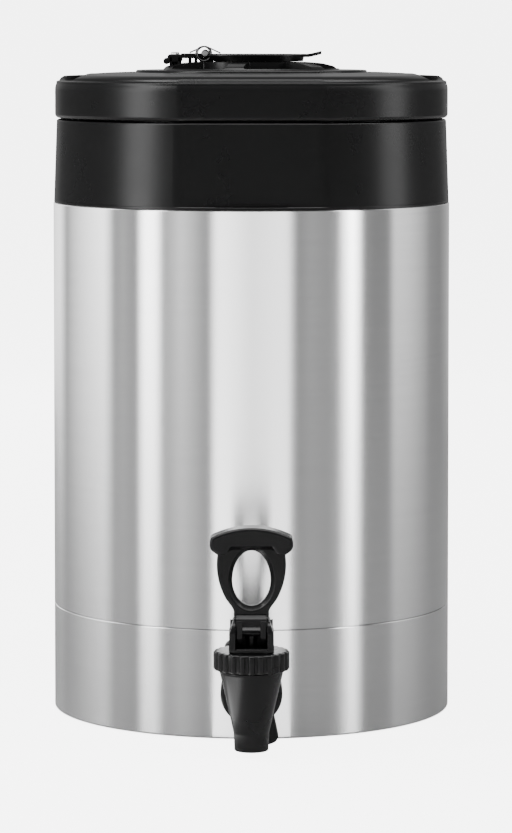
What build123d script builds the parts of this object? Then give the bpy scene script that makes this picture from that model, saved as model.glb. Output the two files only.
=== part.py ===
from build123d import *
from math import acos, atan2, ceil, cos, pi, radians, sin, sqrt
import os

# Insulated coffee dispenser for buffet service: a brushed steel body in two bands, a black collar,
# a lift-off lid with a sprung brew-through flap, and a self-closing faucet at the front.
# Millimetres, +Z up, faucet towards -Y, origin at the centre of the base on the standing surface.

os.makedirs("parts", exist_ok=True)

# Clearances
fit = 0.2  # between pieces that are assembled once and stay put
play = 0.3  # between pieces that move past each other
running = 0.05  # radial, of a pin or a stem in its bore

# Steel body
shell_radius = 116.0
sheet = 0.8
floor_gap = 0.5  # steel edge above the standing surface
base_height = 62.0  # seam above the standing surface
shell_height = 235.0
seam_gap = 0.3
seam_round = 0.7
hem = 3.3  # width of the inward hems
spigot_depth = 9.0  # of the base band inside the shell

# Base closure
pan_height = 6.0  # underside of the pan above the standing surface
pan_thickness = 3.0
foot_inset = 19.0  # from the steel wall
foot_width = 11.0
foot_round = 1.0
bracket_count = 4
bracket_width = 18.0
bracket_reach = 17.0
bracket_height = 20.0
bracket_sheet = 1.5
base_screw_radius = 2.0
base_screw_head = 4.0
base_screw_head_height = 2.2
base_screw_length = 8.0

# Inner vessel and its insulation
insulation = 25.0  # between the steel walls
liner_corner = 8.0
liner_flange = 7.0
liner_neck = 17.0  # vessel above the top of the shell
outlet_inset = 19.0  # outlet tube inside the vessel's wall
foam_floor = 5.0  # foam under the vessel
hose_clearance = 0.8  # foam above the hose of the outlet
seal_thickness = 2.0

# Collar
collar_height = 48.5
collar_setback = 0.3
collar_taper = 1.7
collar_round = 1.0
moulding = 3.0  # wall of the black mouldings
collar_spigot = 10.0
bead = 1.1  # snap bead under the shell's hem
bead_height = 3.0
mouth_step = 1.0  # mouth outside the vessel's wall
lid_seat_width = 6.0
lid_seat_rise = 2.7
panel_half_width = 40.7  # flat front shared by collar and lid
panel_band = 1.6  # round edge left below the flat
panel_corner = 6.0

# Lid
lid_setback = 1.0
lid_gap = 0.8  # dark line between lid and collar
rim_height = 24.7
rim_round = 8.0
rim_foot_round = 2.5
rim_wall = 3.2
lid_top_wall = 4.0
dome_rise = 1.9
dome_bulge = 0.35
disc_radius = 67.6
disc_rise = 1.3
disc_round = 0.9
cone_radius = 52.0
cone_top_radius = 26.0
cone_rise = 4.7
rib_count = 6
rib_width = 10.0
rib_angle = -101.0  # the rib that is nearest the front
window_outer = 49.0
window_inner = 31.5
window_depth = 7.4  # below the top of the cone
pocket_inset = 18.0  # inner side of the finger pockets, from the outside of the lid
pocket_wall = 2.5
pocket_depth = 12.0
lid_boss_count = 6
lid_boss_inset = 10.5  # from the outside of the lid
lid_boss_radius = 4.0
lid_screw_radius = 1.5
lid_screw_head = 2.8
lid_screw_head_height = 1.5
lid_screw_length = 7.5
plug_gap = 2.0  # plug inside the mouth
plug_wall = 5.0
plug_depth = 27.5  # below the lid's seat
plug_floor = 3.0
plug_flange = 2.5
gasket_height = 5.0
gasket_groove = 2.0
gasket_drop = 12.5  # below the lid's seat
inlet_radius = 18.0
sleeve_wall = 2.0
sleeve_flange = 6.0
sleeve_flange_thickness = 2.3

# Flap and its hinge
flap_radius = 31.0
flap_height = 3.8
flap_plate = 2.1
flap_taper = 2.4
flap_skirt = 2.6
flap_round = 0.7
tab_reach = 10.0
tab_rise = 1.8
tab_width = 18.0
tab_thickness = 1.5
tab_round = 6.0
hinge_offset = 27.0  # hinge axis left of the lid's axis
hinge_height = 4.9  # above the top of the cone
hinge_pin_radius = 1.2
hinge_pin_head = 2.0
hinge_pin_head_height = 1.0
knuckle_radius = 2.3
knuckle_width = 12.0
cheek = 3.0
arm_thickness = 1.4
arm_drop = 0.5  # top of the arm below the hinge axis
block_near = 13.5  # from the hinge axis
block_far = 22.0
block_top_drop = 0.9
block_height = 4.3
nose_radius = 1.9
post_width = 1.6
post_offsets = (5.5, 9.0, 15.0, 20.0)  # from the hinge axis
bracket_screw_spread = 7.0
bracket_screw_radius = 1.25
bracket_screw_head = 2.4
bracket_screw_head_height = 1.2
bracket_screw_length = 11.0
bracket_boss_radius = 2.6
flap_spring_wire = 0.9
flap_spring_radius = 4.1  # to the middle of the wire
flap_spring_turns = 3
flap_spring_pitch = 1.45
flap_spring_leg = 9.0  # reach of each leg from the hinge axis
seal_bead_gap = 0.6
seal_bead_depth = 1.6
seal_bead_round = 0.8

# Faucet
faucet_reach = 49.0  # faucet axis in front of the steel
spout_gap = 3.9  # outlet above the standing surface
shank_height = 30.9
spout_radius = 9.35
spout_length = 9.6
spout_foot_radius = 9.75
barrel_middle_radius = 13.0
barrel_middle_height = 15.0
barrel_top_radius = 17.3
barrel_top_height = 18.2
barrel_lip = 1.8
barrel_round = 3.0
thread_radius = 16.2
thread_length = 7.0
spout_bore = 7.2
seat_bore = 6.0
seat_land = 3.4
seat_height = 18.1  # above the outlet
seat_thickness = 2.0
chamber_radius = 13.9
chamber_slope = 18.0
tail_radius = 9.2
tail_bore = 6.5
c_ring_inset = 1.0
c_ring_thickness = 1.4
c_ring_depth = 1.1
c_ring_gap_angle = 60.0
faucet_seal_thickness = 1.8
shank_radius = 11.0
shank_bore = 6.8
shank_flange_radius = 16.0
shank_flange_thickness = 4.0
shank_washer_radius = 15.4
shank_washer_thickness = 4.4
saddle_radius = 15.0
saddle_thickness = 4.0
backnut_flats = 28.0
backnut_thickness = 6.0
hose_bore = 9.0
hose_wall = 2.3
hose_overlap = 10.0
elbow_bend = 14.0
clamp_band = 0.9
clamp_width = 7.0
clamp_ear = 5.0
clamp_inset = 1.5  # from the end of the hose
wing_hub_radius = 17.2
wing_hub_length = 18.0
wing_hub_round = 1.2
wing_flange = 2.8
wing_tip_radius = 31.0
wing_tip_round = 4.4
wing_root_half_width = 8.0
wing_thickness = 7.0
wing_angle = 21.5  # of the wings from upright

# Bonnet, nut and valve
bonnet_nut_radius = 20.8
bonnet_nut_lip = 1.4
nut_rib_count = 24
nut_rib_radius = 1.9
nut_rib_rise = 1.2
nut_round = 1.0
bonnet_radius = 12.3
bonnet_flange = 1.1
bonnet_seal_thickness = 1.0
bonnet_spigot_depth = 6.0
bonnet_base_height = 2.3
bonnet_base_back = 11.0
bonnet_base_round = 5.0
spring_pocket_radius = 7.0
ear_radius = 8.0
ear_shoulder = 7.5  # height of the ear's straight side above the base
ear_top_inset = 2.6
pivot_forward = 6.0  # pivot in front of the stem
pivot_rise = 8.0  # pivot above the bonnet's base
pivot_pin_radius = 2.0
stem_radius = 3.0
stem_head_rise = 3.4
stem_head_drop = 4.2
stem_pin_radius = 1.6
cup_radius = 8.2
cup_height = 12.6
cup_lip = 2.4
cup_top_radius = 5.8
stem_foot_radius = 4.2
stem_foot_height = 3.0
stem_foot_lift = 3.0
stem_spring_wire = 1.0
stem_spring_radius = 5.0
stem_spring_turns = 6

# Handle, with heights above its pivot and depths from it
handle_turn = 35.0  # full pull, degrees
fork_half_width = 8.4
fork_slot_half_width = 5.0
fork_front = 6.5
fork_bottom = 6.4
fork_round = 1.6
fork_slot_play = 0.35
fork_tail_wall = 2.3
fork_top = 9.8
fork_ceiling = 6.0
web_bottom = 1.5
web_thickness = 3.4
neck_half_width = 9.6
neck_play = 0.4
plate_front = 2.0
plate_thickness = 7.0
flare_start = 12.0
flare_half_width = 14.1
flare_height = 18.9
loop_half_width = 18.85
loop_height = 35.3
loop_top_half_width = 18.0
loop_top = 46.5
hole_half_width = 10.4
hole_height = 28.4
hole_below = 13.7
hole_above = 16.6
hole_flare = 2.6
paddle_front = 9.0
paddle_round = 1.5
paddle_apex = 58.4
paddle_shoulder_half_width = 22.0
paddle_shoulder = 53.2
paddle_end_half_width = 23.4
paddle_end = 49.5
paddle_lobe_outer = 19.0
paddle_lobe_inner = 15.0
paddle_lobe = 43.7
paddle_arch_half_width = 11.2
paddle_arch = 50.0
paddle_arch_round = 1.6
paddle_end_round = 3.2

# Heights and places that follow from the sizes above
shell_top = base_height + shell_height
collar_top = shell_top + collar_height
lid_seat = collar_top + lid_seat_rise
rim_bottom = collar_top + lid_gap
rim_top = rim_bottom + rim_height
dome_top = rim_top + dome_rise
disc_top = dome_top + disc_rise
cone_top = disc_top + cone_rise
lid_ceiling = rim_top - lid_top_wall
plug_top = lid_seat + play + plug_flange
plug_bottom = lid_seat - plug_depth
shell_inner = shell_radius - sheet
spigot_radius = shell_inner - fit
pan_floor = pan_height + pan_thickness
liner_radius = shell_radius - insulation
liner_top = shell_top + liner_neck
mouth_radius = liner_radius + mouth_step
lid_radius = shell_radius - lid_setback
panel_distance = sqrt(lid_radius**2 - panel_half_width**2)
lid_boss_circle = lid_radius - lid_boss_inset
pocket_distance = lid_radius - pocket_inset
foot_radius = shell_radius - foot_inset
wall_front = -shell_radius
faucet_y = wall_front - faucet_reach
tail_length = bonnet_nut_radius + play + wing_flange + fit + c_ring_thickness + c_ring_inset
tail_end = faucet_y + tail_length
outlet_y = outlet_inset - liner_radius
shank_back = outlet_y - elbow_bend - hose_wall
outlet_bottom = shank_height + elbow_bend + hose_wall
hose_top = outlet_bottom + hose_overlap
jacket_bottom = hose_top + hose_clearance
liner_floor = jacket_bottom + foam_floor + fit + sheet
barrel_top = spout_gap + spout_length + barrel_middle_height + barrel_top_height
thread_top = barrel_top + barrel_lip + thread_length
nut_bottom = barrel_top + barrel_lip + fit
bonnet_flange_top = thread_top + bonnet_seal_thickness + bonnet_flange
nut_top = bonnet_flange_top + fit / 2 + bonnet_nut_lip
bonnet_base = nut_top + play
bonnet_floor = bonnet_base + bonnet_base_height
ear_inner = fork_half_width + play
stem_head_radius = pivot_forward - pivot_pin_radius - play
pivot_y = faucet_y - pivot_forward
pivot_z = bonnet_floor + pivot_rise
hinge_x = -hinge_offset
hinge_z = cone_top + hinge_height
flap_bottom = cone_top + play
flap_top = flap_bottom + flap_height
cheek_inner = knuckle_width / 2 + play
cheek_outer = cheek_inner + cheek
arm_top = hinge_z - arm_drop
block_top = hinge_z - block_top_drop
block_bottom = block_top - block_height
block_middle = hinge_x - (block_near + block_far) / 2
bracket_screw_places = [
    (block_middle, bracket_screw_spread / 2),
    (block_middle, -bracket_screw_spread / 2),
]

body_axis = Axis.Z
faucet_axis = Axis((0, faucet_y, 0), (0, 0, 1))
shank_axis = Axis((0, 0, shank_height), (0, 1, 0))
hinge_axis = Axis((hinge_x, 0, hinge_z), (0, 1, 0))
pivot_axis = Axis((0, pivot_y, pivot_z), (1, 0, 0))
stem_pin_axis = Axis((0, faucet_y, pivot_z), (1, 0, 0))


def outline(plane, corners):
    """A closed outline on a plane, from (across, up) or (across, up, rounding) corners."""
    points = [corner[:2] for corner in corners]
    rounding = [corner[2] if len(corner) > 2 else 0 for corner in corners]
    with BuildSketch(plane) as shape:
        with BuildLine():
            FilletPolyline(*points, radius=rounding, close=True)
        make_face()
    return shape.sketch


def turning(axis, corners):
    """An outline of (along the axis, radius) corners, in a plane through the axis."""
    facing = (1, 0, 0) if abs(axis.direction.X) < 0.5 else (0, -1, 0)
    return outline(Plane(axis.position, x_dir=axis.direction, z_dir=facing), corners)


def upright(angle):
    """The plane through the Z axis whose across direction points at the given angle."""
    across = (cos(radians(angle)), sin(radians(angle)), 0)
    return Plane((0, 0, 0), x_dir=across, z_dir=(across[1], -across[0], 0))


def lid_plan(inset, height):
    """The lid's round plan with its flat front, moved inwards by an inset, at a height."""
    with BuildSketch(Plane.XY.offset(height)) as plan:
        Circle(lid_radius - inset)
        with Locations((0, -panel_distance + inset - shell_radius / 2)):
            Rectangle(2 * shell_radius, shell_radius, mode=Mode.SUBTRACT)
        corners = plan.vertices().group_by(Axis.Y)[0]
        fillet(corners, panel_corner)
    return plan.sketch


def coil_path(point, slope, total, leg_in, leg_out):
    """A helix as biarcs of about a quarter turn, with a straight leg at each end.

    point(angle) is the helix and slope(angle) its direction; each leg is a length.
    """
    steps = ceil(total / (pi / 2))
    angles = [total * step / steps for step in range(steps + 1)]
    edges = []
    if leg_in:
        edges.append(Edge.make_line(point(0) - slope(0) * leg_in, point(0)))
    for first, last in zip(angles, angles[1:]):
        start, end = point(first), point(last)
        go, arrive = slope(first), slope(last)
        span = end - start
        along = span.dot(go + arrive)
        bend = 2 * (1 - go.dot(arrive))
        reach = (sqrt(along**2 + bend * span.dot(span)) - along) / bend
        near, far = start + go * reach, end - arrive * reach
        middle = (near + far) / 2
        edges.append(Edge.make_tangent_arc(start, go, middle))
        edges.append(Edge.make_tangent_arc(middle, (far - near).normalized(), end))
    if leg_out:
        edges.append(Edge.make_line(point(total), point(total) + slope(total) * leg_out))
    return Wire(edges)


def least_gap(name, path, wire, skip):
    """Prints the smallest gap between turns: points on the path that are over skip apart along it."""
    count = 400
    points = [path @ (step / count) for step in range(count + 1)]
    away = ceil(skip / path.length * count)
    nearest = min(
        (points[first] - points[second]).length
        for first in range(count + 1)
        for second in range(first + away, count + 1)
    )
    print(f"{name}: least gap to itself {nearest - wire:.2f} mm")


# Steel body

with BuildPart() as outer_shell:
    foot = base_height + seam_gap
    revolve(
        turning(body_axis, [
            (foot, shell_inner),
            (foot, shell_radius),
            (shell_top, shell_radius, sheet),
            (shell_top, shell_radius - hem),
            (shell_top - sheet, shell_radius - hem),
            (shell_top - sheet, shell_inner),
        ]),
        axis=body_axis,
    )
outer_shell.part.label = "outer_shell"
export_step(outer_shell.part, "parts/outer_shell.step")

with BuildPart() as base_skirt:
    revolve(
        turning(body_axis, [
            (floor_gap, shell_radius - hem),
            (floor_gap, shell_radius, 1.5 * sheet),
            (base_height, shell_radius, seam_round),
            (base_height, spigot_radius),
            (base_height + spigot_depth, spigot_radius),
            (base_height + spigot_depth, spigot_radius - sheet),
            (base_height - sheet, spigot_radius - sheet),
            (base_height - sheet, shell_inner),
            (floor_gap + sheet, shell_inner),
            (floor_gap + sheet, shell_radius - hem),
        ]),
        axis=body_axis,
    )
    with BuildSketch(Plane.XZ):
        with Locations((0, shank_height)):
            Circle(shank_radius + fit)
    extrude(amount=shell_radius + sheet, mode=Mode.SUBTRACT)
base_skirt.part.label = "base_skirt"
export_step(base_skirt.part, "parts/base_skirt.step")

# Base closure

base_screw_circle = shell_inner - bracket_reach + 2 * base_screw_head - fit

with BuildPart() as base_pan:
    revolve(
        turning(body_axis, [
            (pan_height, 0),
            (pan_height, spigot_radius - pan_thickness),
            (floor_gap + sheet, spigot_radius - pan_thickness),
            (floor_gap + sheet, spigot_radius),
            (pan_floor, spigot_radius),
            (pan_floor, 0),
        ]),
        axis=body_axis,
    )
    with BuildSketch(Plane.XY.offset(pan_height)):
        with PolarLocations(base_screw_circle, bracket_count, start_angle=45):
            Circle(base_screw_radius + fit)
    extrude(amount=pan_thickness, mode=Mode.SUBTRACT)
base_pan.part.label = "base_pan"
export_step(base_pan.part, "parts/base_pan.step")

with BuildPart() as base_brackets:
    for index in range(bracket_count):
        with BuildSketch(upright(45 + index * 360 / bracket_count)):
            with BuildLine():
                FilletPolyline(
                    (shell_inner - bracket_reach, pan_floor),
                    (shell_inner, pan_floor),
                    (shell_inner, pan_floor + bracket_height),
                    (shell_inner - 2 * bracket_sheet, pan_floor + bracket_height),
                    (shell_inner - 2 * bracket_sheet, pan_floor + bracket_sheet),
                    (shell_inner - bracket_reach, pan_floor + bracket_sheet),
                    radius=0,
                    close=True,
                )
            make_face()
        extrude(amount=bracket_width / 2, both=True)
    with BuildSketch(Plane.XY.offset(pan_floor)):
        Circle(shell_inner - fit)
    extrude(amount=bracket_height, mode=Mode.INTERSECT)
    with BuildSketch(Plane.XY.offset(pan_floor)):
        with PolarLocations(base_screw_circle, bracket_count, start_angle=45):
            Circle(base_screw_radius + running)
    extrude(amount=bracket_sheet, mode=Mode.SUBTRACT)
base_brackets.part.label = "base_brackets"
export_step(base_brackets.part, "parts/base_brackets.step")

with BuildPart() as base_screws:
    with BuildSketch(Plane.XY.offset(pan_height)):
        with PolarLocations(base_screw_circle, bracket_count, start_angle=45):
            Circle(base_screw_head)
    extrude(amount=-base_screw_head_height)
    with BuildSketch(Plane.XY.offset(pan_height)):
        with PolarLocations(base_screw_circle, bracket_count, start_angle=45):
            Circle(base_screw_radius)
    extrude(amount=base_screw_length)
base_screws.part.label = "base_screws"
export_step(base_screws.part, "parts/base_screws.step")

with BuildPart() as foot_ring:
    revolve(
        turning(body_axis, [
            (0, foot_radius - foot_width, foot_round),
            (0, foot_radius, foot_round),
            (pan_height, foot_radius),
            (pan_height, foot_radius - foot_width),
        ]),
        axis=body_axis,
    )
foot_ring.part.label = "foot_ring"
export_step(foot_ring.part, "parts/foot_ring.step")

# Inner vessel and its insulation

outlet_tube_radius = hose_bore - fit

with BuildPart() as liner:
    revolve(
        turning(body_axis, [
            (liner_floor - sheet, 0),
            (liner_floor - sheet, liner_radius, liner_corner),
            (liner_top - sheet, liner_radius),
            (liner_top - sheet, liner_radius + liner_flange),
            (liner_top, liner_radius + liner_flange),
            (liner_top, liner_radius - sheet),
            (liner_floor, liner_radius - sheet, liner_corner - sheet),
            (liner_floor, 0),
        ]),
        axis=body_axis,
    )
    with BuildSketch(Plane.XY.offset(outlet_bottom)):
        with Locations((0, outlet_y)):
            Circle(outlet_tube_radius)
    extrude(amount=liner_floor - sheet - outlet_bottom)
    with BuildSketch(Plane.XY.offset(outlet_bottom)):
        with Locations((0, outlet_y)):
            Circle(outlet_tube_radius - sheet)
    extrude(amount=liner_floor - outlet_bottom, mode=Mode.SUBTRACT)
liner.part.label = "liner"
export_step(liner.part, "parts/liner.step")

with BuildPart() as insulation_jacket:
    jacket_step = base_height + spigot_depth + fit
    jacket_top = shell_top - collar_spigot - fit
    jacket_neck_radius = panel_distance - moulding - 2 * fit
    revolve(
        turning(body_axis, [
            (jacket_bottom, 0),
            (jacket_bottom, spigot_radius - sheet - fit),
            (jacket_step, spigot_radius - sheet - fit),
            (jacket_step, shell_inner - fit),
            (jacket_top, shell_inner - fit),
            (jacket_top, jacket_neck_radius),
            (liner_top - sheet - fit, jacket_neck_radius),
            (liner_top - sheet - fit, liner_radius + fit),
            (liner_floor - sheet - fit, liner_radius + fit, liner_corner),
            (liner_floor - sheet - fit, 0),
        ]),
        axis=body_axis,
    )
    with BuildSketch(Plane.XY.offset(jacket_bottom)):
        with Locations((0, outlet_y)):
            Circle(outlet_tube_radius + fit)
    extrude(amount=liner_floor - jacket_bottom, mode=Mode.SUBTRACT)
insulation_jacket.part.label = "insulation_jacket"
export_step(insulation_jacket.part, "parts/insulation_jacket.step")

with BuildPart() as liner_seal:
    revolve(
        turning(body_axis, [
            (liner_top, mouth_radius),
            (liner_top, liner_radius + liner_flange, fit),
            (liner_top + seal_thickness, liner_radius + liner_flange, fit),
            (liner_top + seal_thickness, mouth_radius),
        ]),
        axis=body_axis,
    )
liner_seal.part.label = "liner_seal"
export_step(liner_seal.part, "parts/liner_seal.step")

# Collar

collar_foot_radius = shell_radius - collar_setback
collar_head_radius = collar_foot_radius - collar_taper
collar_spigot_radius = shell_radius - hem - fit
bead_bottom = shell_top - sheet - fit - bead_height

with BuildPart() as collar:
    revolve(
        turning(body_axis, [
            (shell_top, collar_foot_radius),
            (collar_top, collar_head_radius, collar_round),
            (collar_top, mouth_radius + lid_seat_width),
            (lid_seat, mouth_radius + lid_seat_width, seam_round),
            (lid_seat, mouth_radius, seam_round),
            (liner_top + seal_thickness, mouth_radius),
            (liner_top + seal_thickness, mouth_radius + moulding),
            (collar_top - moulding, mouth_radius + moulding),
            (collar_top - moulding, collar_head_radius - moulding),
            (shell_top + moulding, collar_foot_radius - moulding),
            (shell_top + moulding, collar_spigot_radius - moulding),
            (shell_top - collar_spigot, collar_spigot_radius - moulding),
            (shell_top - collar_spigot, collar_spigot_radius),
            (bead_bottom, collar_spigot_radius),
            (bead_bottom + bead, collar_spigot_radius + bead),
            (bead_bottom + bead_height - bead, collar_spigot_radius + bead),
            (bead_bottom + bead_height, collar_spigot_radius),
            (shell_top, collar_spigot_radius),
        ]),
        axis=body_axis,
    )
    # The wall behind the flat front, and the flat itself
    with BuildSketch(Plane.XY.offset(shell_top + moulding)):
        Circle(collar_head_radius - moulding)
        with Locations((0, -panel_distance + moulding + shell_radius)):
            Rectangle(2 * shell_radius, 2 * shell_radius, mode=Mode.SUBTRACT)
    extrude(amount=collar_height - 2 * moulding)
    with BuildSketch(Plane.XY.offset(shell_top + panel_band)):
        with Locations((0, -panel_distance - shell_radius / 2)):
            Rectangle(2 * shell_radius, shell_radius)
    extrude(amount=collar_height, mode=Mode.SUBTRACT)
collar.part.label = "collar"
export_step(collar.part, "parts/collar.step")

# Lid

cavity_bottom = plug_top
sleeve_radius = inlet_radius + sleeve_wall
window_floor = cone_top - window_depth
pocket_floor = rim_top - pocket_depth

with BuildPart() as lid_cap:
    extrude(lid_plan(0, rim_bottom), amount=rim_height)
    fillet(lid_cap.faces().sort_by(Axis.Z)[-1].edges(), rim_round)
    fillet(lid_cap.faces().sort_by(Axis.Z)[0].edges(), rim_foot_round)
    # Crowned top, raised disc and cone
    with BuildSketch(Plane.XZ) as crown:
        dome_edge = panel_distance - rim_round - fit
        with BuildLine():
            middle_radius = (dome_edge + disc_radius) / 2
            middle_height = (rim_top + dome_top) / 2 + dome_bulge
            ThreePointArc((dome_edge, rim_top), (middle_radius, middle_height), (disc_radius, dome_top))
            Polyline(
                (disc_radius, dome_top),
                (disc_radius, disc_top),
                (cone_radius, disc_top),
                (cone_top_radius, cone_top),
                (0, cone_top),
                (0, lid_ceiling),
                (dome_edge, lid_ceiling),
                (dome_edge, rim_top),
            )
        make_face()
        disc_edge = crown.vertices().sort_by_distance((disc_radius, 0, disc_top))[0]
        fillet(disc_edge, disc_round)
    revolve(axis=body_axis)
    # Hollow underside, with the finger pockets and the screw bosses hanging into it
    extrude(lid_plan(rim_wall, rim_bottom), amount=lid_ceiling - rim_bottom, mode=Mode.SUBTRACT)
    with BuildSketch(Plane.XY.offset(pocket_floor - pocket_wall)):
        Circle(lid_radius - rim_wall)
        Rectangle(2 * (pocket_distance - pocket_wall), 2 * lid_radius, mode=Mode.SUBTRACT)
    extrude(amount=lid_ceiling - pocket_floor + pocket_wall)
    with BuildSketch(Plane.XY.offset(cavity_bottom)):
        with PolarLocations(lid_boss_circle, lid_boss_count):
            Circle(lid_boss_radius)
    extrude(amount=lid_ceiling - cavity_bottom)
    with BuildSketch(Plane.XY.offset(pocket_floor)):
        Circle(lid_radius - rim_wall - pocket_wall)
        Rectangle(2 * pocket_distance, 2 * lid_radius, mode=Mode.SUBTRACT)
    extrude(amount=2 * pocket_depth, mode=Mode.SUBTRACT)
    with BuildSketch(Plane.XY.offset(cavity_bottom)):
        with PolarLocations(lid_boss_circle, lid_boss_count):
            Circle(lid_screw_radius + running)
    extrude(amount=lid_screw_length - plug_flange + fit, mode=Mode.SUBTRACT)
    # Windows between the ribs of the cone; the sector under the hinge stays whole
    with BuildSketch(Plane.XY.offset(window_floor)):
        Circle(window_outer)
        Circle(window_inner, mode=Mode.SUBTRACT)
        with PolarLocations(window_outer / 2, rib_count, start_angle=rib_angle):
            Rectangle(2 * window_outer, rib_width, mode=Mode.SUBTRACT)
        with BuildLine():
            sector = 360 / rib_count
            hinge_sector = rib_angle + sector * int((180 - rib_angle) / sector)
            first = Vector(2 * window_outer, 0).rotate(Axis.Z, hinge_sector)
            second = Vector(2 * window_outer, 0).rotate(Axis.Z, hinge_sector + sector)
            Polyline((0, 0), first, second, close=True)
        make_face(mode=Mode.SUBTRACT)
    extrude(amount=window_depth, mode=Mode.SUBTRACT)
    # Holes for the screws of the hinge bracket
    with BuildSketch(Plane.XY.offset(block_top - bracket_screw_length - fit)):
        with Locations(bracket_screw_places):
            Circle(bracket_screw_radius + running)
    extrude(amount=bracket_screw_length, mode=Mode.SUBTRACT)
    # Brew-through hole
    with BuildSketch(Plane.XY.offset(rim_bottom)):
        Circle(sleeve_radius + fit)
    extrude(amount=cone_top - rim_bottom, mode=Mode.SUBTRACT)
lid_cap.part.label = "lid_cap"
export_step(lid_cap.part, "parts/lid_cap.step")

plug_radius = mouth_radius - plug_gap
gasket_top = lid_seat - gasket_drop
gasket_bottom = gasket_top - gasket_height

with BuildPart() as lid_plug:
    extrude(lid_plan(rim_wall + fit, lid_seat + play), amount=plug_flange)
    revolve(
        turning(body_axis, [
            (plug_bottom, 0),
            (plug_bottom, plug_radius, moulding),
            (plug_top, plug_radius),
            (plug_top, 0),
        ]),
        axis=body_axis,
    )
    revolve(
        turning(body_axis, [
            (plug_bottom + plug_floor, 0),
            (plug_bottom + plug_floor, plug_radius - plug_wall),
            (plug_top, plug_radius - plug_wall),
            (plug_top, 0),
        ]),
        axis=body_axis,
        mode=Mode.SUBTRACT,
    )
    revolve(
        turning(body_axis, [
            (gasket_bottom, plug_radius - gasket_groove),
            (gasket_bottom, plug_radius + gasket_groove),
            (gasket_top, plug_radius + gasket_groove),
            (gasket_top, plug_radius - gasket_groove),
        ]),
        axis=body_axis,
        mode=Mode.SUBTRACT,
    )
    with BuildSketch(Plane.XY.offset(lid_seat + play)):
        with PolarLocations(lid_boss_circle, lid_boss_count):
            Circle(lid_screw_radius + fit)
    extrude(amount=plug_flange, mode=Mode.SUBTRACT)
    with BuildSketch(Plane.XY.offset(plug_bottom)):
        Circle(sleeve_radius + fit)
    extrude(amount=plug_floor, mode=Mode.SUBTRACT)
lid_plug.part.label = "lid_plug"
export_step(lid_plug.part, "parts/lid_plug.step")

with BuildPart() as lid_insulation:
    revolve(
        turning(body_axis, [
            (plug_bottom + plug_floor + fit, sleeve_radius + fit),
            (plug_bottom + plug_floor + fit, plug_radius - plug_wall - fit),
            (lid_ceiling - fit, plug_radius - plug_wall - fit),
            (lid_ceiling - fit, sleeve_radius + fit),
        ]),
        axis=body_axis,
    )
lid_insulation.part.label = "lid_insulation"
export_step(lid_insulation.part, "parts/lid_insulation.step")

with BuildPart() as lid_gasket:
    gasket_round = gasket_height / 4
    revolve(
        turning(body_axis, [
            (gasket_bottom + fit, plug_radius - gasket_groove + fit),
            (gasket_bottom + fit, mouth_radius - play, gasket_round),
            (gasket_top - fit, mouth_radius - play, gasket_round),
            (gasket_top - fit, plug_radius - gasket_groove + fit),
        ]),
        axis=body_axis,
    )
lid_gasket.part.label = "lid_gasket"
export_step(lid_gasket.part, "parts/lid_gasket.step")

with BuildPart() as lid_screws:
    with BuildSketch(Plane.XY.offset(lid_seat + play)):
        with PolarLocations(lid_boss_circle, lid_boss_count):
            Circle(lid_screw_head)
    extrude(amount=-lid_screw_head_height)
    with BuildSketch(Plane.XY.offset(lid_seat + play)):
        with PolarLocations(lid_boss_circle, lid_boss_count):
            Circle(lid_screw_radius)
    extrude(amount=lid_screw_length)
lid_screws.part.label = "lid_screws"
export_step(lid_screws.part, "parts/lid_screws.step")

with BuildPart() as inlet_sleeve:
    revolve(
        turning(body_axis, [
            (plug_bottom - sleeve_flange_thickness, inlet_radius),
            (plug_bottom - sleeve_flange_thickness, sleeve_radius + sleeve_flange, fit),
            (plug_bottom, sleeve_radius + sleeve_flange),
            (plug_bottom, sleeve_radius),
            (cone_top, sleeve_radius),
            (cone_top, inlet_radius, seam_round),
        ]),
        axis=body_axis,
    )
inlet_sleeve.part.label = "inlet_sleeve"
export_step(inlet_sleeve.part, "parts/inlet_sleeve.step")

# Hinge of the flap

post_top = arm_top - arm_thickness / 2
coil_start = -(cheek_outer + play + flap_spring_wire)
coil_length = flap_spring_pitch * (flap_spring_turns + 1)

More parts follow.
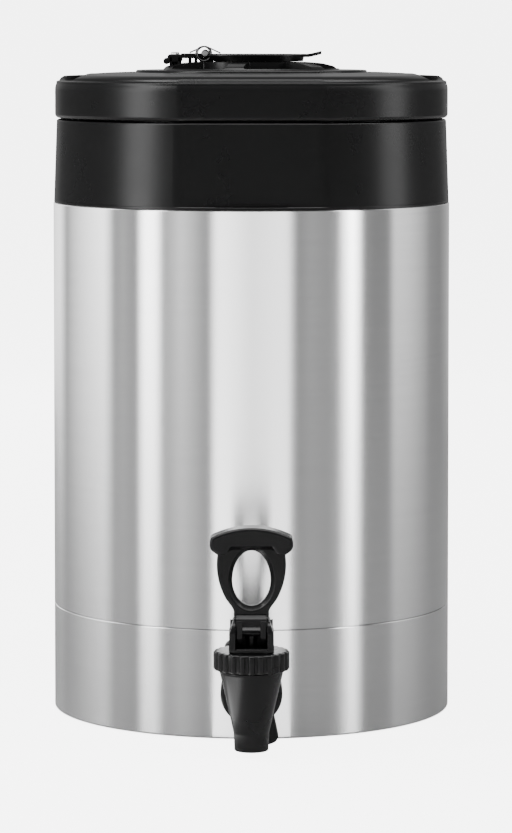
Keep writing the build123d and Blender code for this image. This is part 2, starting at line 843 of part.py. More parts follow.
with BuildPart() as hinge_bracket:
    with BuildSketch(Plane.XZ.offset(cheek_inner)):
        with Locations((hinge_x - block_near / 2, arm_top - arm_thickness / 2)):
            Rectangle(block_near, arm_thickness)
        with Locations((hinge_x, hinge_z)):
            Circle(knuckle_radius)
        with Locations([(hinge_x - offset, (rim_top + post_top) / 2) for offset in post_offsets]):
            Rectangle(post_width, post_top - rim_top)
    extrude(amount=cheek)
    mirror(about=Plane.XZ)
    # Block with its rounded nose, bridging both cheeks
    with BuildSketch(Plane.XZ):
        with Locations((block_middle, (block_top + block_bottom) / 2)):
            RectangleRounded(block_far - block_near, block_height, post_width / 2)
        with Locations((hinge_x - block_far - post_width / 3, block_bottom + post_width / 2)):
            Circle(nose_radius)
    extrude(amount=cheek_outer, both=True)
    # Rest for the fixed leg of the spring
    with BuildSketch(Plane.XZ.offset(cheek_outer)):
        with Locations((hinge_x - flap_spring_leg, arm_top - arm_thickness / 2)):
            Rectangle(2 * cheek, arm_thickness)
    extrude(amount=cheek)
    # Screw pillars
    with BuildSketch(Plane.XY.offset(disc_top)):
        with Locations(bracket_screw_places):
            Circle(bracket_boss_radius)
    extrude(amount=block_bottom - disc_top + fit)
    # Feet follow the cone
    revolve(
        turning(body_axis, [
            (rim_top, 0),
            (cone_top, 0),
            (cone_top, cone_top_radius),
            (disc_top, cone_radius),
            (disc_top, disc_radius),
            (rim_top, disc_radius),
        ]),
        axis=body_axis,
        mode=Mode.SUBTRACT,
    )
    with BuildSketch(Plane.XZ):
        with Locations((hinge_x, hinge_z)):
            Circle(hinge_pin_radius + running)
    extrude(amount=cheek_outer, both=True, mode=Mode.SUBTRACT)
    with BuildSketch(Plane.XY.offset(disc_top)):
        with Locations(bracket_screw_places):
            Circle(bracket_screw_radius + running)
    extrude(amount=block_top - disc_top, mode=Mode.SUBTRACT)
hinge_bracket.part.label = "hinge_bracket"
export_step(hinge_bracket.part, "parts/hinge_bracket.step")

with BuildPart() as bracket_screws:
    with BuildSketch(Plane.XY.offset(block_top)):
        with Locations(bracket_screw_places):
            Circle(bracket_screw_head)
    extrude(amount=bracket_screw_head_height)
    with BuildSketch(Plane.XY.offset(block_top)):
        with Locations(bracket_screw_places):
            Circle(bracket_screw_radius)
    extrude(amount=-bracket_screw_length)
bracket_screws.part.label = "bracket_screws"
export_step(bracket_screws.part, "parts/bracket_screws.step")

with BuildPart() as hinge_pin:
    pin_front = coil_start - coil_length - play
    pin_back = cheek_outer + fit
    revolve(
        turning(hinge_axis, [
            (pin_front - hinge_pin_head_height, 0),
            (pin_front - hinge_pin_head_height, hinge_pin_head, fit),
            (pin_front, hinge_pin_head),
            (pin_front, hinge_pin_radius),
            (pin_back, hinge_pin_radius),
            (pin_back, hinge_pin_head),
            (pin_back + hinge_pin_head_height, hinge_pin_head, fit),
            (pin_back + hinge_pin_head_height, 0),
        ]),
        axis=hinge_axis,
    )
hinge_pin.part.label = "hinge_pin"
export_step(hinge_pin.part, "parts/hinge_pin.step")

# The torsion spring: its legs leave the top of the coil and come down on the arm and on the flap.
leg_lift = (flap_spring_wire + fit) / 2
arm_end = Vector(-flap_spring_leg, arm_top + leg_lift - hinge_z)
flap_end = Vector(flap_spring_leg, flap_top + leg_lift - hinge_z)
arm_tangent = atan2(arm_end.Y, arm_end.X) - acos(flap_spring_radius / arm_end.length)
flap_tangent = atan2(flap_end.Y, flap_end.X) + acos(flap_spring_radius / flap_end.length)
flap_coil_turn = arm_tangent - flap_tangent + 2 * pi * flap_spring_turns
flap_coil_rise = flap_spring_pitch / (2 * pi)


def flap_coil_point(angle):
    """The torsion coil, clockwise from the arm's tangent point, moving towards the front."""
    around = arm_tangent - angle
    return Vector(
        hinge_x + flap_spring_radius * cos(around),
        coil_start - flap_coil_rise * angle,
        hinge_z + flap_spring_radius * sin(around),
    )


def flap_coil_slope(angle):
    """The direction of the torsion coil at an angle."""
    around = arm_tangent - angle
    across = flap_spring_radius * sin(around)
    up = -flap_spring_radius * cos(around)
    return Vector(across, -flap_coil_rise, up).normalized()


flap_coil = coil_path(
    flap_coil_point,
    flap_coil_slope,
    flap_coil_turn,
    sqrt(arm_end.length**2 - flap_spring_radius**2),
    sqrt(flap_end.length**2 - flap_spring_radius**2),
)

with BuildPart() as flap_spring:
    with BuildSketch(Plane(flap_coil @ 0, z_dir=flap_coil % 0)):
        Circle(flap_spring_wire / 2)
    sweep(path=flap_coil)
flap_spring.part.label = "flap_spring"
export_step(flap_spring.part, "parts/flap_spring.step")
least_gap("flap_spring", flap_coil, flap_spring_wire, 1.5 * pi * flap_spring_radius)

# Flap

flap_edge = hinge_x + flap_spring_radius + flap_spring_wire / 2 + 3 * play
flap_under = flap_top - flap_plate
notch_front = pin_front - hinge_pin_head_height - 2 * play
notch_back = pin_back + hinge_pin_head_height + 2 * play
skirt_radius = flap_radius - flap_taper

# Finger tab that curls up, with its corners rounded in plan
with BuildPart() as tab:
    tab_root = skirt_radius - flap_skirt
    tab_bend = flap_radius + tab_reach / 3
    tab_tip = flap_radius + tab_reach
    tab_under = flap_top - tab_thickness
    tab_side = outline(Plane.XZ, [
        (tab_root, tab_under),
        (tab_bend, tab_under, tab_reach),
        (tab_tip, tab_under + tab_rise),
        (tab_tip, flap_top + tab_rise),
        (tab_bend, flap_top, tab_reach),
        (tab_root, flap_top),
    ])
    extrude(tab_side, amount=tab_width / 2, both=True)
    tab_plan = outline(Plane.XY.offset(flap_bottom), [
        (tab_root, -tab_width / 2),
        (tab_tip, -tab_width / 2, tab_round),
        (tab_tip, tab_width / 2, tab_round),
        (tab_root, tab_width / 2),
    ])
    extrude(tab_plan, amount=2 * flap_height, mode=Mode.INTERSECT)

with BuildPart() as flap:
    revolve(
        turning(body_axis, [
            (flap_bottom, skirt_radius - flap_skirt),
            (flap_bottom, skirt_radius),
            (flap_top - flap_plate / 2, flap_radius),
            (flap_top, flap_radius, flap_round),
            (flap_top, 0),
            (flap_under, 0),
            (flap_under, skirt_radius - flap_skirt),
        ]),
        axis=body_axis,
    )
    # Notch on the hinge side, clear of the bracket, the spring and the pin's head
    with BuildSketch(Plane.XY.offset(flap_bottom)):
        with Locations((flap_edge - flap_radius, (notch_back + notch_front) / 2)):
            Rectangle(2 * flap_radius, notch_back - notch_front)
    extrude(amount=flap_height, mode=Mode.SUBTRACT)
    add(tab.part)
    # Knuckle round the hinge pin
    with BuildSketch(Plane.XZ):
        with Locations((hinge_x, hinge_z)):
            Circle(knuckle_radius)
        with Locations(((hinge_x + flap_edge + flap_plate) / 2, flap_top - flap_plate / 2)):
            Rectangle(flap_edge + flap_plate - hinge_x, flap_plate)
    extrude(amount=knuckle_width / 2, both=True)
    with BuildSketch(Plane.XZ):
        with Locations((hinge_x, hinge_z)):
            Circle(hinge_pin_radius + running)
    extrude(amount=knuckle_width / 2, both=True, mode=Mode.SUBTRACT)
flap.part.label = "flap"
export_step(flap.part, "parts/flap.step")

with BuildPart() as flap_seal:
    seal_radius = -flap_edge - fit
    bead_radius = inlet_radius - seal_bead_gap
    revolve(
        turning(body_axis, [
            (flap_bottom - seal_bead_depth, 0),
            (flap_bottom - seal_bead_depth, bead_radius, seal_bead_round),
            (flap_bottom, bead_radius),
            (flap_bottom, seal_radius),
            (flap_under, seal_radius),
            (flap_under, 0),
        ]),
        axis=body_axis,
    )
flap_seal.part.label = "flap_seal"
export_step(flap_seal.part, "parts/flap_seal.step")

# Outlet from the vessel through the base band

hose_front = shank_back - hose_overlap
hose_radius = hose_bore + hose_wall

with BuildPart() as outlet_elbow:
    with BuildLine() as hose_route:
        FilletPolyline(
            (0, outlet_y, hose_top),
            (0, outlet_y, shank_height),
            (0, hose_front, shank_height),
            radius=elbow_bend,
        )
    with BuildSketch(Plane.XY.offset(hose_top)):
        with Locations((0, outlet_y)):
            Circle(hose_radius)
            Circle(hose_bore, mode=Mode.SUBTRACT)
    sweep(path=hose_route.wire())
outlet_elbow.part.label = "outlet_elbow"
export_step(outlet_elbow.part, "parts/outlet_elbow.step")

with BuildPart() as hose_clamps:
    upper_clamp = Plane((0, outlet_y, hose_top - clamp_inset), x_dir=(1, 0, 0), z_dir=(0, 0, -1))
    lower_clamp = Plane((0, hose_front + clamp_inset, shank_height), x_dir=(1, 0, 0), z_dir=(0, 1, 0))
    for place in (upper_clamp, lower_clamp):
        with BuildSketch(place):
            Circle(hose_radius + fit + clamp_band)
            with Locations((hose_radius + clamp_ear / 2, 0)):
                Rectangle(clamp_ear, clamp_ear)
            Circle(hose_radius + fit, mode=Mode.SUBTRACT)
        extrude(amount=clamp_width)
hose_clamps.part.label = "hose_clamps"
export_step(hose_clamps.part, "parts/hose_clamps.step")

flange_back = wall_front - shank_washer_thickness
saddle_back = saddle_thickness - shell_inner
backnut_back = saddle_back + backnut_thickness

with BuildPart() as shank:
    shank_front = tail_end + faucet_seal_thickness + fit
    barb_start = backnut_back + fit
    revolve(
        turning(shank_axis, [
            (shank_front, shank_bore),
            (shank_front, shank_radius, fit),
            (flange_back - shank_flange_thickness, shank_radius),
            (flange_back - shank_flange_thickness, shank_flange_radius, fit),
            (flange_back, shank_flange_radius, fit),
            (flange_back, shank_radius),
            (barb_start, shank_radius, fit),
            (barb_start, outlet_tube_radius),
            (shank_back, outlet_tube_radius, fit),
            (shank_back, shank_bore),
        ]),
        axis=shank_axis,
    )
shank.part.label = "shank"
export_step(shank.part, "parts/shank.step")

with BuildPart() as shank_washer:
    with BuildSketch(Plane.XZ.offset(-flange_back)):
        with Locations((0, shank_height)):
            Circle(shank_washer_radius)
            Circle(shank_radius + fit, mode=Mode.SUBTRACT)
    extrude(amount=-2 * shank_washer_thickness)
    with BuildSketch(Plane.XY):
        Circle(shell_radius)
    extrude(amount=base_height, mode=Mode.SUBTRACT)
shank_washer.part.label = "shank_washer"
export_step(shank_washer.part, "parts/shank_washer.step")

with BuildPart() as saddle_washer:
    with BuildSketch(Plane.XZ.offset(-saddle_back)):
        with Locations((0, shank_height)):
            Circle(saddle_radius)
            Circle(shank_radius + fit, mode=Mode.SUBTRACT)
    extrude(amount=2 * saddle_thickness)
    with BuildSketch(Plane.XY):
        Circle(shell_inner)
    extrude(amount=base_height, mode=Mode.INTERSECT)
saddle_washer.part.label = "saddle_washer"
export_step(saddle_washer.part, "parts/saddle_washer.step")

with BuildPart() as shank_backnut:
    with BuildSketch(Plane.XZ.offset(-saddle_back)):
        with Locations((0, shank_height)):
            RegularPolygon(backnut_flats / 2, 6, major_radius=False)
            Circle(shank_radius + fit, mode=Mode.SUBTRACT)
    extrude(amount=-backnut_thickness)
shank_backnut.part.label = "shank_backnut"
export_step(shank_backnut.part, "parts/shank_backnut.step")

# Faucet

c_ring_back = tail_end - c_ring_inset
c_ring_front = c_ring_back - c_ring_thickness
wing_front = c_ring_front - fit - wing_flange
wing_back = wing_front + wing_hub_length
seat_top = spout_gap + seat_height

with BuildPart() as faucet_body:
    foot_top = spout_gap + spout_length
    barrel_middle = foot_top + barrel_middle_height
    revolve(
        turning(faucet_axis, [
            (spout_gap, 0),
            (spout_gap, spout_radius, seam_round),
            (foot_top, spout_foot_radius, barrel_round),
            (barrel_middle, barrel_middle_radius, barrel_round),
            (barrel_top, barrel_top_radius),
            (barrel_top + barrel_lip, barrel_top_radius, seam_round),
            (barrel_top + barrel_lip, thread_radius),
            (thread_top, thread_radius, fit),
            (thread_top, 0),
        ]),
        axis=faucet_axis,
    )
    revolve(
        turning(shank_axis, [
            (faucet_y, 0),
            (faucet_y, tail_radius),
            (c_ring_front - fit / 2, tail_radius),
            (c_ring_front - fit / 2, tail_radius - c_ring_depth),
            (c_ring_back + fit / 2, tail_radius - c_ring_depth),
            (c_ring_back + fit / 2, tail_radius),
            (tail_end, tail_radius, fit),
            (tail_end, 0),
        ]),
        axis=shank_axis,
    )
    # Spout bore, seat and chamber
    revolve(
        turning(faucet_axis, [
            (spout_gap, 0),
            (spout_gap, spout_bore),
            (seat_top - 2 * seat_thickness, spout_bore),
            (seat_top - seat_thickness, seat_bore),
            (seat_top, seat_bore),
            (seat_top, seat_bore + seat_land),
            (seat_top + chamber_slope, chamber_radius, barrel_round),
            (thread_top, chamber_radius),
            (thread_top, 0),
        ]),
        axis=faucet_axis,
        mode=Mode.SUBTRACT,
    )
    with BuildSketch(Plane.XZ.offset(-tail_end)):
        with Locations((0, shank_height)):
            Circle(tail_bore)
    extrude(amount=tail_length, mode=Mode.SUBTRACT)
faucet_body.part.label = "faucet_body"
export_step(faucet_body.part, "parts/faucet_body.step")

with BuildPart() as c_ring:
    revolve(
        turning(shank_axis, [
            (c_ring_front, tail_radius - c_ring_depth + fit / 2),
            (c_ring_front, shank_radius),
            (c_ring_back, shank_radius),
            (c_ring_back, tail_radius - c_ring_depth + fit / 2),
        ]),
        axis=shank_axis,
        revolution_arc=360 - c_ring_gap_angle,
    )
c_ring.part.label = "c_ring"
export_step(c_ring.part, "parts/c_ring.step")

with BuildPart() as faucet_seal:
    revolve(
        turning(shank_axis, [
            (tail_end + fit / 2, tail_bore),
            (tail_end + fit / 2, shank_radius - fit),
            (tail_end + fit / 2 + faucet_seal_thickness, shank_radius - fit),
            (tail_end + fit / 2 + faucet_seal_thickness, tail_bore),
        ]),
        axis=shank_axis,
    )
faucet_seal.part.label = "faucet_seal"
export_step(faucet_seal.part, "parts/faucet_seal.step")

with BuildPart() as wing_nut:
    wing_bore = shank_radius + fit
    revolve(
        turning(shank_axis, [
            (wing_front, tail_radius + fit),
            (wing_front, wing_hub_radius, wing_hub_round),
            (wing_back, wing_hub_radius, wing_hub_round),
            (wing_back, wing_bore),
            (wing_front + wing_flange, wing_bore),
            (wing_front + wing_flange, tail_radius + fit),
        ]),
        axis=shank_axis,
    )
    wing_back_face = (wing_front + wing_back + wing_thickness) / 2
    wing_root = wing_bore + fit
    for turn in (wing_angle, wing_angle + 180):
        across = (cos(radians(turn)), 0, sin(radians(turn)))
        wing = outline(Plane((0, wing_back_face, shank_height), x_dir=across, z_dir=(0, -1, 0)), [
            (-wing_root_half_width, wing_root),
            (-wing_tip_round - fit, wing_tip_radius, wing_tip_round),
            (wing_tip_round + fit, wing_tip_radius, wing_tip_round),
            (wing_root_half_width, wing_root),
        ])
        extrude(wing, amount=wing_thickness)
wing_nut.part.label = "wing_nut"
export_step(wing_nut.part, "parts/wing_nut.step")

# Bonnet, nut and valve

spring_ceiling = bonnet_flange_top
spigot_bottom = thread_top + bonnet_seal_thickness - bonnet_spigot_depth
ear_top = pivot_z + ear_radius

with BuildPart() as bonnet_seal:
    revolve(
        turning(faucet_axis, [
            (thread_top, chamber_radius),
            (thread_top, thread_radius - fit),
            (thread_top + bonnet_seal_thickness, thread_radius - fit),
            (thread_top + bonnet_seal_thickness, chamber_radius),
        ]),
        axis=faucet_axis,
    )
bonnet_seal.part.label = "bonnet_seal"
export_step(bonnet_seal.part, "parts/bonnet_seal.step")

with BuildPart() as bonnet:
    revolve(
        turning(faucet_axis, [
            (spigot_bottom, spring_pocket_radius),
            (spigot_bottom, chamber_radius - fit),
            (thread_top + bonnet_seal_thickness, chamber_radius - fit),
            (thread_top + bonnet_seal_thickness, thread_radius - fit),
            (bonnet_flange_top, thread_radius - fit),
            (bonnet_flange_top, bonnet_radius),
            (bonnet_floor, bonnet_radius),
            (bonnet_floor, stem_radius + running),
            (spring_ceiling, stem_radius + running),
            (spring_ceiling, spring_pocket_radius),
        ]),
        axis=faucet_axis,
    )
    # Base that carries the ears
    bonnet_plan = outline(Plane.XY.offset(bonnet_base), [
        (-bonnet_radius, faucet_y, 0),
        (-bonnet_radius, pivot_y - ear_radius, bonnet_base_round),
        (bonnet_radius, pivot_y - ear_radius, bonnet_base_round),
        (bonnet_radius, faucet_y, 0),
        (bonnet_radius, faucet_y + bonnet_base_back, bonnet_base_round),
        (-bonnet_radius, faucet_y + bonnet_base_back, bonnet_base_round),
    ])
    extrude(bonnet_plan, amount=bonnet_base_height)
    with BuildSketch(Plane.XY.offset(bonnet_base)):
        with Locations((0, faucet_y)):
            Circle(stem_radius + running)
    extrude(amount=bonnet_base_height, mode=Mode.SUBTRACT)
    # Ears
    for inner in (ear_inner, -bonnet_radius):
        with BuildSketch(Plane.YZ.offset(inner)):
            with Locations((pivot_y, pivot_z)):
                Circle(ear_radius)
            with Locations((pivot_y, pivot_z - pivot_rise / 2)):
                Rectangle(2 * ear_radius, pivot_rise)
        extrude(amount=bonnet_radius - ear_inner)
    # Upper part of each ear leans in
    for side in (-1, 1):
        lean = outline(Plane.XZ.offset(-faucet_y), [
            (side * bonnet_radius, bonnet_floor + ear_shoulder),
            (side * (bonnet_radius - ear_top_inset), ear_top),
            (side * bonnet_radius, ear_top),
        ])
        extrude(lean, amount=2 * ear_radius, both=True, mode=Mode.SUBTRACT)
    with BuildSketch(Plane.YZ):
        with Locations((pivot_y, pivot_z)):
            Circle(pivot_pin_radius + running)
    extrude(amount=bonnet_radius, both=True, mode=Mode.SUBTRACT)
bonnet.part.label = "bonnet"
export_step(bonnet.part, "parts/bonnet.step")

with BuildPart() as bonnet_nut:
    with BuildSketch(Plane.XY.offset(nut_bottom)):
        with Locations((0, faucet_y)):
            Circle(bonnet_nut_radius - nut_rib_rise)
            with PolarLocations(bonnet_nut_radius - nut_rib_radius, nut_rib_count):
                Circle(nut_rib_radius)
    extrude(amount=nut_top - nut_bottom)
    revolve(
        turning(faucet_axis, [
            (nut_bottom, thread_radius + fit),
            (nut_bottom, bonnet_nut_radius, nut_round),
            (nut_top, bonnet_nut_radius, nut_round),
            (nut_top, bonnet_radius + fit),
            (nut_top - bonnet_nut_lip, bonnet_radius + fit),
            (nut_top - bonnet_nut_lip, thread_radius + fit),
        ]),
        axis=faucet_axis,
        mode=Mode.INTERSECT,
    )
bonnet_nut.part.label = "bonnet_nut"
export_step(bonnet_nut.part, "parts/bonnet_nut.step")

with BuildPart() as handle_pivot_pin:
    pin_end = bonnet_radius - ear_top_inset / 2
    revolve(
        turning(pivot_axis, [
            (-pin_end, 0),
            (-pin_end, pivot_pin_radius, fit),
            (pin_end, pivot_pin_radius, fit),
            (pin_end, 0),
        ]),
        axis=pivot_axis,
    )
handle_pivot_pin.part.label = "handle_pivot_pin"
export_step(handle_pivot_pin.part, "parts/handle_pivot_pin.step")

cup_bottom = seat_top + play
cup_top = cup_bottom + cup_height
stem_bottom = cup_bottom + stem_foot_lift
stem_foot_top = stem_bottom + stem_foot_height

with BuildPart() as valve_stem:
    revolve(
        turning(faucet_axis, [
            (stem_bottom, 0),
            (stem_bottom, stem_foot_radius),
            (stem_foot_top, stem_foot_radius),
            (stem_foot_top, stem_radius),
            (pivot_z - stem_head_drop, stem_radius),
            (pivot_z - stem_head_drop, stem_head_radius, fit),
            (pivot_z + stem_head_rise, stem_head_radius, fit),
            (pivot_z + stem_head_rise, 0),
        ]),
        axis=faucet_axis,
    )
    with BuildSketch(Plane.YZ):
        with Locations((faucet_y, pivot_z)):
            Circle(stem_pin_radius + running)
    extrude(amount=stem_head_radius, both=True, mode=Mode.SUBTRACT)
valve_stem.part.label = "valve_stem"
export_step(valve_stem.part, "parts/valve_stem.step")

with BuildPart() as stem_pin:
    revolve(
        turning(stem_pin_axis, [
            (fit - fork_half_width, 0),
            (fit - fork_half_width, stem_pin_radius, fit),
            (fork_half_width - fit, stem_pin_radius, fit),
            (fork_half_width - fit, 0),
        ]),
        axis=stem_pin_axis,
    )
stem_pin.part.label = "stem_pin"
export_step(stem_pin.part, "parts/stem_pin.step")

with BuildPart() as seat_cup:
    revolve(
        turning(faucet_axis, [
            (cup_bottom, 0),
            (cup_bottom, cup_radius, seam_round),
            (cup_bottom + cup_lip, cup_radius, seam_round),
            (cup_top, cup_top_radius),
            (cup_top, stem_radius + running),
            (stem_foot_top + running, stem_radius + running),
            (stem_foot_top + running, stem_foot_radius + running),
            (stem_bottom - running, stem_foot_radius + running),
            (stem_bottom - running, 0),
        ]),
        axis=faucet_axis,
    )
seat_cup.part.label = "seat_cup"
export_step(seat_cup.part, "parts/seat_cup.step")

stem_coil_bottom = cup_top + stem_spring_wire / 2 + fit
stem_coil_top = spring_ceiling - stem_spring_wire / 2 - fit
stem_coil_turn = 2 * pi * stem_spring_turns
stem_coil_rise = (stem_coil_top - stem_coil_bottom) / stem_coil_turn


def stem_coil_point(angle):
    """The closing spring, rising from the valve cup to the bonnet."""
    return Vector(
        stem_spring_radius * cos(angle),
        faucet_y + stem_spring_radius * sin(angle),
        stem_coil_bottom + stem_coil_rise * angle,
    )


def stem_coil_slope(angle):
    """The direction of the closing spring at an angle."""
    across = -stem_spring_radius * sin(angle)
    along = stem_spring_radius * cos(angle)
    return Vector(across, along, stem_coil_rise).normalized()


stem_coil = coil_path(stem_coil_point, stem_coil_slope, stem_coil_turn, 0, 0)

with BuildPart() as stem_spring:
    with BuildSketch(Plane(stem_coil @ 0, z_dir=stem_coil % 0)):
        Circle(stem_spring_wire / 2)
    sweep(path=stem_coil)
stem_spring.part.label = "stem_spring"
export_step(stem_spring.part, "parts/stem_spring.step")
least_gap("stem_spring", stem_coil, stem_spring_wire, 1.5 * pi * stem_spring_radius)

# Handle

slot_far = pivot_forward / cos(radians(handle_turn))
slot_half_height = stem_pin_radius + fork_slot_play
fork_back = slot_far + slot_half_height + fork_tail_wall
plate_back = plate_thickness - plate_front
plate_bottom = ear_radius + neck_play

with BuildPart() as handle:
    # Loop, from the neck up
    with BuildSketch(Plane.XZ.offset(plate_front - pivot_y)):
        with BuildLine():
            side = Spline(
                (neck_half_width, pivot_z + flare_start),
                (flare_half_width, pivot_z + flare_height),
                (loop_half_width, pivot_z + loop_height),
                (loop_top_half_width, pivot_z + loop_top),
                tangents=[(0.3, 1), (-0.15, 1)],
            )
            Polyline(
                (0, pivot_z + plate_bottom),
                (neck_half_width, pivot_z + plate_bottom),
                side @ 0,
            )
            Polyline(
                side @ 1,
                (paddle_lobe_inner, pivot_z + paddle_shoulder - paddle_round),
                (0, pivot_z + paddle_shoulder - paddle_round),
            )
            mirror(about=Plane.YZ)
        make_face()
    extrude(amount=-plate_thickness)
    # Paddle that hangs over the top of the loop
    with BuildSketch(Plane.XZ.offset(paddle_front - pivot_y)) as paddle:
        with BuildLine():
            ThreePointArc(
                (-paddle_shoulder_half_width, pivot_z + paddle_shoulder),
                (0, pivot_z + paddle_apex),
                (paddle_shoulder_half_width, pivot_z + paddle_shoulder),
            )
            Polyline(
                (paddle_shoulder_half_width, pivot_z + paddle_shoulder),
                (paddle_end_half_width, pivot_z + paddle_end),
                (paddle_lobe_outer, pivot_z + paddle_lobe),
                (paddle_lobe_inner, pivot_z + paddle_lobe),
                (paddle_arch_half_width, pivot_z + paddle_arch),
                (-paddle_arch_half_width, pivot_z + paddle_arch),
                (-paddle_lobe_inner, pivot_z + paddle_lobe),
                (-paddle_lobe_outer, pivot_z + paddle_lobe),
                (-paddle_end_half_width, pivot_z + paddle_end),
                (-paddle_shoulder_half_width, pivot_z + paddle_shoulder),
            )
        make_face()
        fillet(paddle.vertices().filter_by(lambda v: abs(v.X) > paddle_lobe_inner + fit), paddle_end_round)
        fillet(paddle.vertices().filter_by(lambda v: abs(v.X) < paddle_lobe_inner + fit), paddle_arch_round)
    extrude(amount=-paddle_front - plate_back)
    # Finger hole: an egg of two half ellipses, dished towards the front
    with BuildSketch(Plane.XZ.offset(paddle_front - pivot_y)):
        with BuildLine():
            hole_middle = (0, pivot_z + hole_height)
            EllipticalCenterArc(hole_middle, hole_half_width, hole_above, start_angle=0, arc_size=180)
            EllipticalCenterArc(hole_middle, hole_half_width, hole_below, start_angle=180, arc_size=180)
        make_face()
    extrude(amount=-paddle_front - plate_back, mode=Mode.SUBTRACT)
    chamfer(handle.edges().filter_by(GeomType.ELLIPSE).group_by(Axis.Y)[0], hole_flare)
    # Fork that straddles the stem, with its tail reaching back over the stem's pin
    fork = outline(Plane.YZ.offset(-fork_half_width), [
        (pivot_y - fork_front, pivot_z + fork_top, fork_round),
        (pivot_y - fork_front, pivot_z - fork_bottom, fork_front - fit),
        (pivot_y + fork_front, pivot_z - fork_bottom, fork_round),
        (pivot_y + fork_back, pivot_z - slot_half_height - fork_tail_wall, fork_round),
        (pivot_y + fork_back, pivot_z + slot_half_height + fork_tail_wall, fork_round),
        (pivot_y + plate_back, pivot_z + slot_half_height + fork_tail_wall, fork_round),
        (pivot_y + plate_back, pivot_z + fork_top),
    ])
    extrude(fork, amount=2 * fork_half_width)
    web_back = pivot_y - fork_front + web_thickness
    fork_space = outline(Plane.YZ.offset(-fork_slot_half_width), [
        (pivot_y - 2 * fork_front, pivot_z - 2 * fork_bottom),
        (pivot_y + 2 * fork_back, pivot_z - 2 * fork_bottom),
        (pivot_y + 2 * fork_back, pivot_z + fork_ceiling),
        (web_back, pivot_z + fork_ceiling, fork_round),
        (web_back, pivot_z + web_bottom),
        (pivot_y - 2 * fork_front, pivot_z + web_bottom),
    ])
    extrude(fork_space, amount=2 * fork_slot_half_width, mode=Mode.SUBTRACT)
    with BuildSketch(Plane.YZ):
        with Locations((pivot_y, pivot_z)):
            Circle(pivot_pin_radius + running)
        with Locations((pivot_y + (pivot_forward + slot_far) / 2, pivot_z)):
            SlotCenterToCenter(slot_far - pivot_forward, 2 * slot_half_height)
    extrude(amount=fork_half_width, both=True, mode=Mode.SUBTRACT)
    # Softened edges of the paddle
    paddle_face = handle.faces().filter_by(Axis.Y).sort_by(Axis.Y)[0]
    fillet(paddle_face.outer_wire().edges(), paddle_round)
handle.part.label = "handle"
export_step(handle.part, "parts/handle.step")
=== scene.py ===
from itertools import chain

import bmesh
import bpy
import numpy as np
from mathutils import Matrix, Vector


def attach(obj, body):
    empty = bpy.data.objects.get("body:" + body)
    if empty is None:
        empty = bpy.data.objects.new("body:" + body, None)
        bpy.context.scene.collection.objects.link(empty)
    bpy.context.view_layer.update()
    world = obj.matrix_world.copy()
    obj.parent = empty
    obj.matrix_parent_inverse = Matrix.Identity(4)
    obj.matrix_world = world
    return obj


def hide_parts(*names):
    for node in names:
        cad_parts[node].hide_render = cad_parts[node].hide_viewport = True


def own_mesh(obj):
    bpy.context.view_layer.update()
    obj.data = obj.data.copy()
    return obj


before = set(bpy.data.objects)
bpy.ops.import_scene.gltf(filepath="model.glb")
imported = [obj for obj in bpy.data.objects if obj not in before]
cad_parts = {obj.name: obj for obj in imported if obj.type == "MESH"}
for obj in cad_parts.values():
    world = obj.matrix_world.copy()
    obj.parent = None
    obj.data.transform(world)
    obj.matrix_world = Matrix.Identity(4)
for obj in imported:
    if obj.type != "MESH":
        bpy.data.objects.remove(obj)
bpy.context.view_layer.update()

# Sizes in millimetres, in the part's frame: faucet towards -Y, origin under the middle of the base
fit = 0.2
play = 0.3
sheet = 0.8
seam_round = 0.7
wide_columns = 288
ring_columns = 192

shell_radius = 116.0
shell_inner = shell_radius - sheet
spigot_radius = shell_inner - fit
spigot_rise = 9.0
floor_gap = 0.5
base_height = 62.0
shell_top = 297.0
hem = 3.3
pan_height = 6.0
pan_floor = 9.0
foot_radius = 97.0
foot_width = 11.0
base_screw_circle = 106.0

liner_radius = 91.0
liner_floor = 64.0
liner_top = 314.0
liner_flange = 7.0
liner_corner = 8.0
outlet_y = -72.0
outlet_radius = 8.8
outlet_low = 47.2
seal_top = 316.0

moulding = 3.0
collar_top = 345.5
collar_foot_radius = 115.7
collar_head_radius = 114.0
collar_head_round = 1.0
collar_spigot_radius = shell_radius - hem - fit
collar_spigot_bottom = 287.0
mouth_radius = 92.0
seat_radius = 98.0
lid_seat = 348.2
panel_half_width = 40.7
panel_bottom = shell_top + 1.6
no_panel = 1e4

lid_radius = 115.0
panel_distance = np.sqrt(lid_radius**2 - panel_half_width**2)
panel_angle = np.arcsin(panel_half_width / lid_radius)
rim_bottom = 346.3
rim_top = 371.7
rim_round = 9.0
rim_foot_round = 2.5
rim_bead = 0.45
bead_angle = np.radians(31.0)
rim_wall = 3.2
lid_ceiling = 367.0
dome_edge = panel_distance - rim_round - fit
dome_top = 372.9
dome_bulge = 0.35
disc_radius = 67.6
disc_top = 374.2
cone_radius = 52.0
cone_top_radius = 26.0
cone_top = 378.9
rib_angle = -101.0
rib_step = 60.0
rib_half_width = 5.0
window_outer = 51.2
window_inner = 31.5
window_floor = 371.5
window_over = 385.0
pocket_distance = 97.0
pocket_radius = 109.3
pocket_floor = 359.0
pocket_wall = 2.5
lid_screw_circle = 104.5
plug_radius = 90.0
plug_bottom = 320.7
plug_top = 351.0
plug_wall = 5.0
gasket_bottom = 330.7
gasket_top = 335.7
inlet_radius = 18.0
sleeve_radius = 20.0
sleeve_flange = 2.3

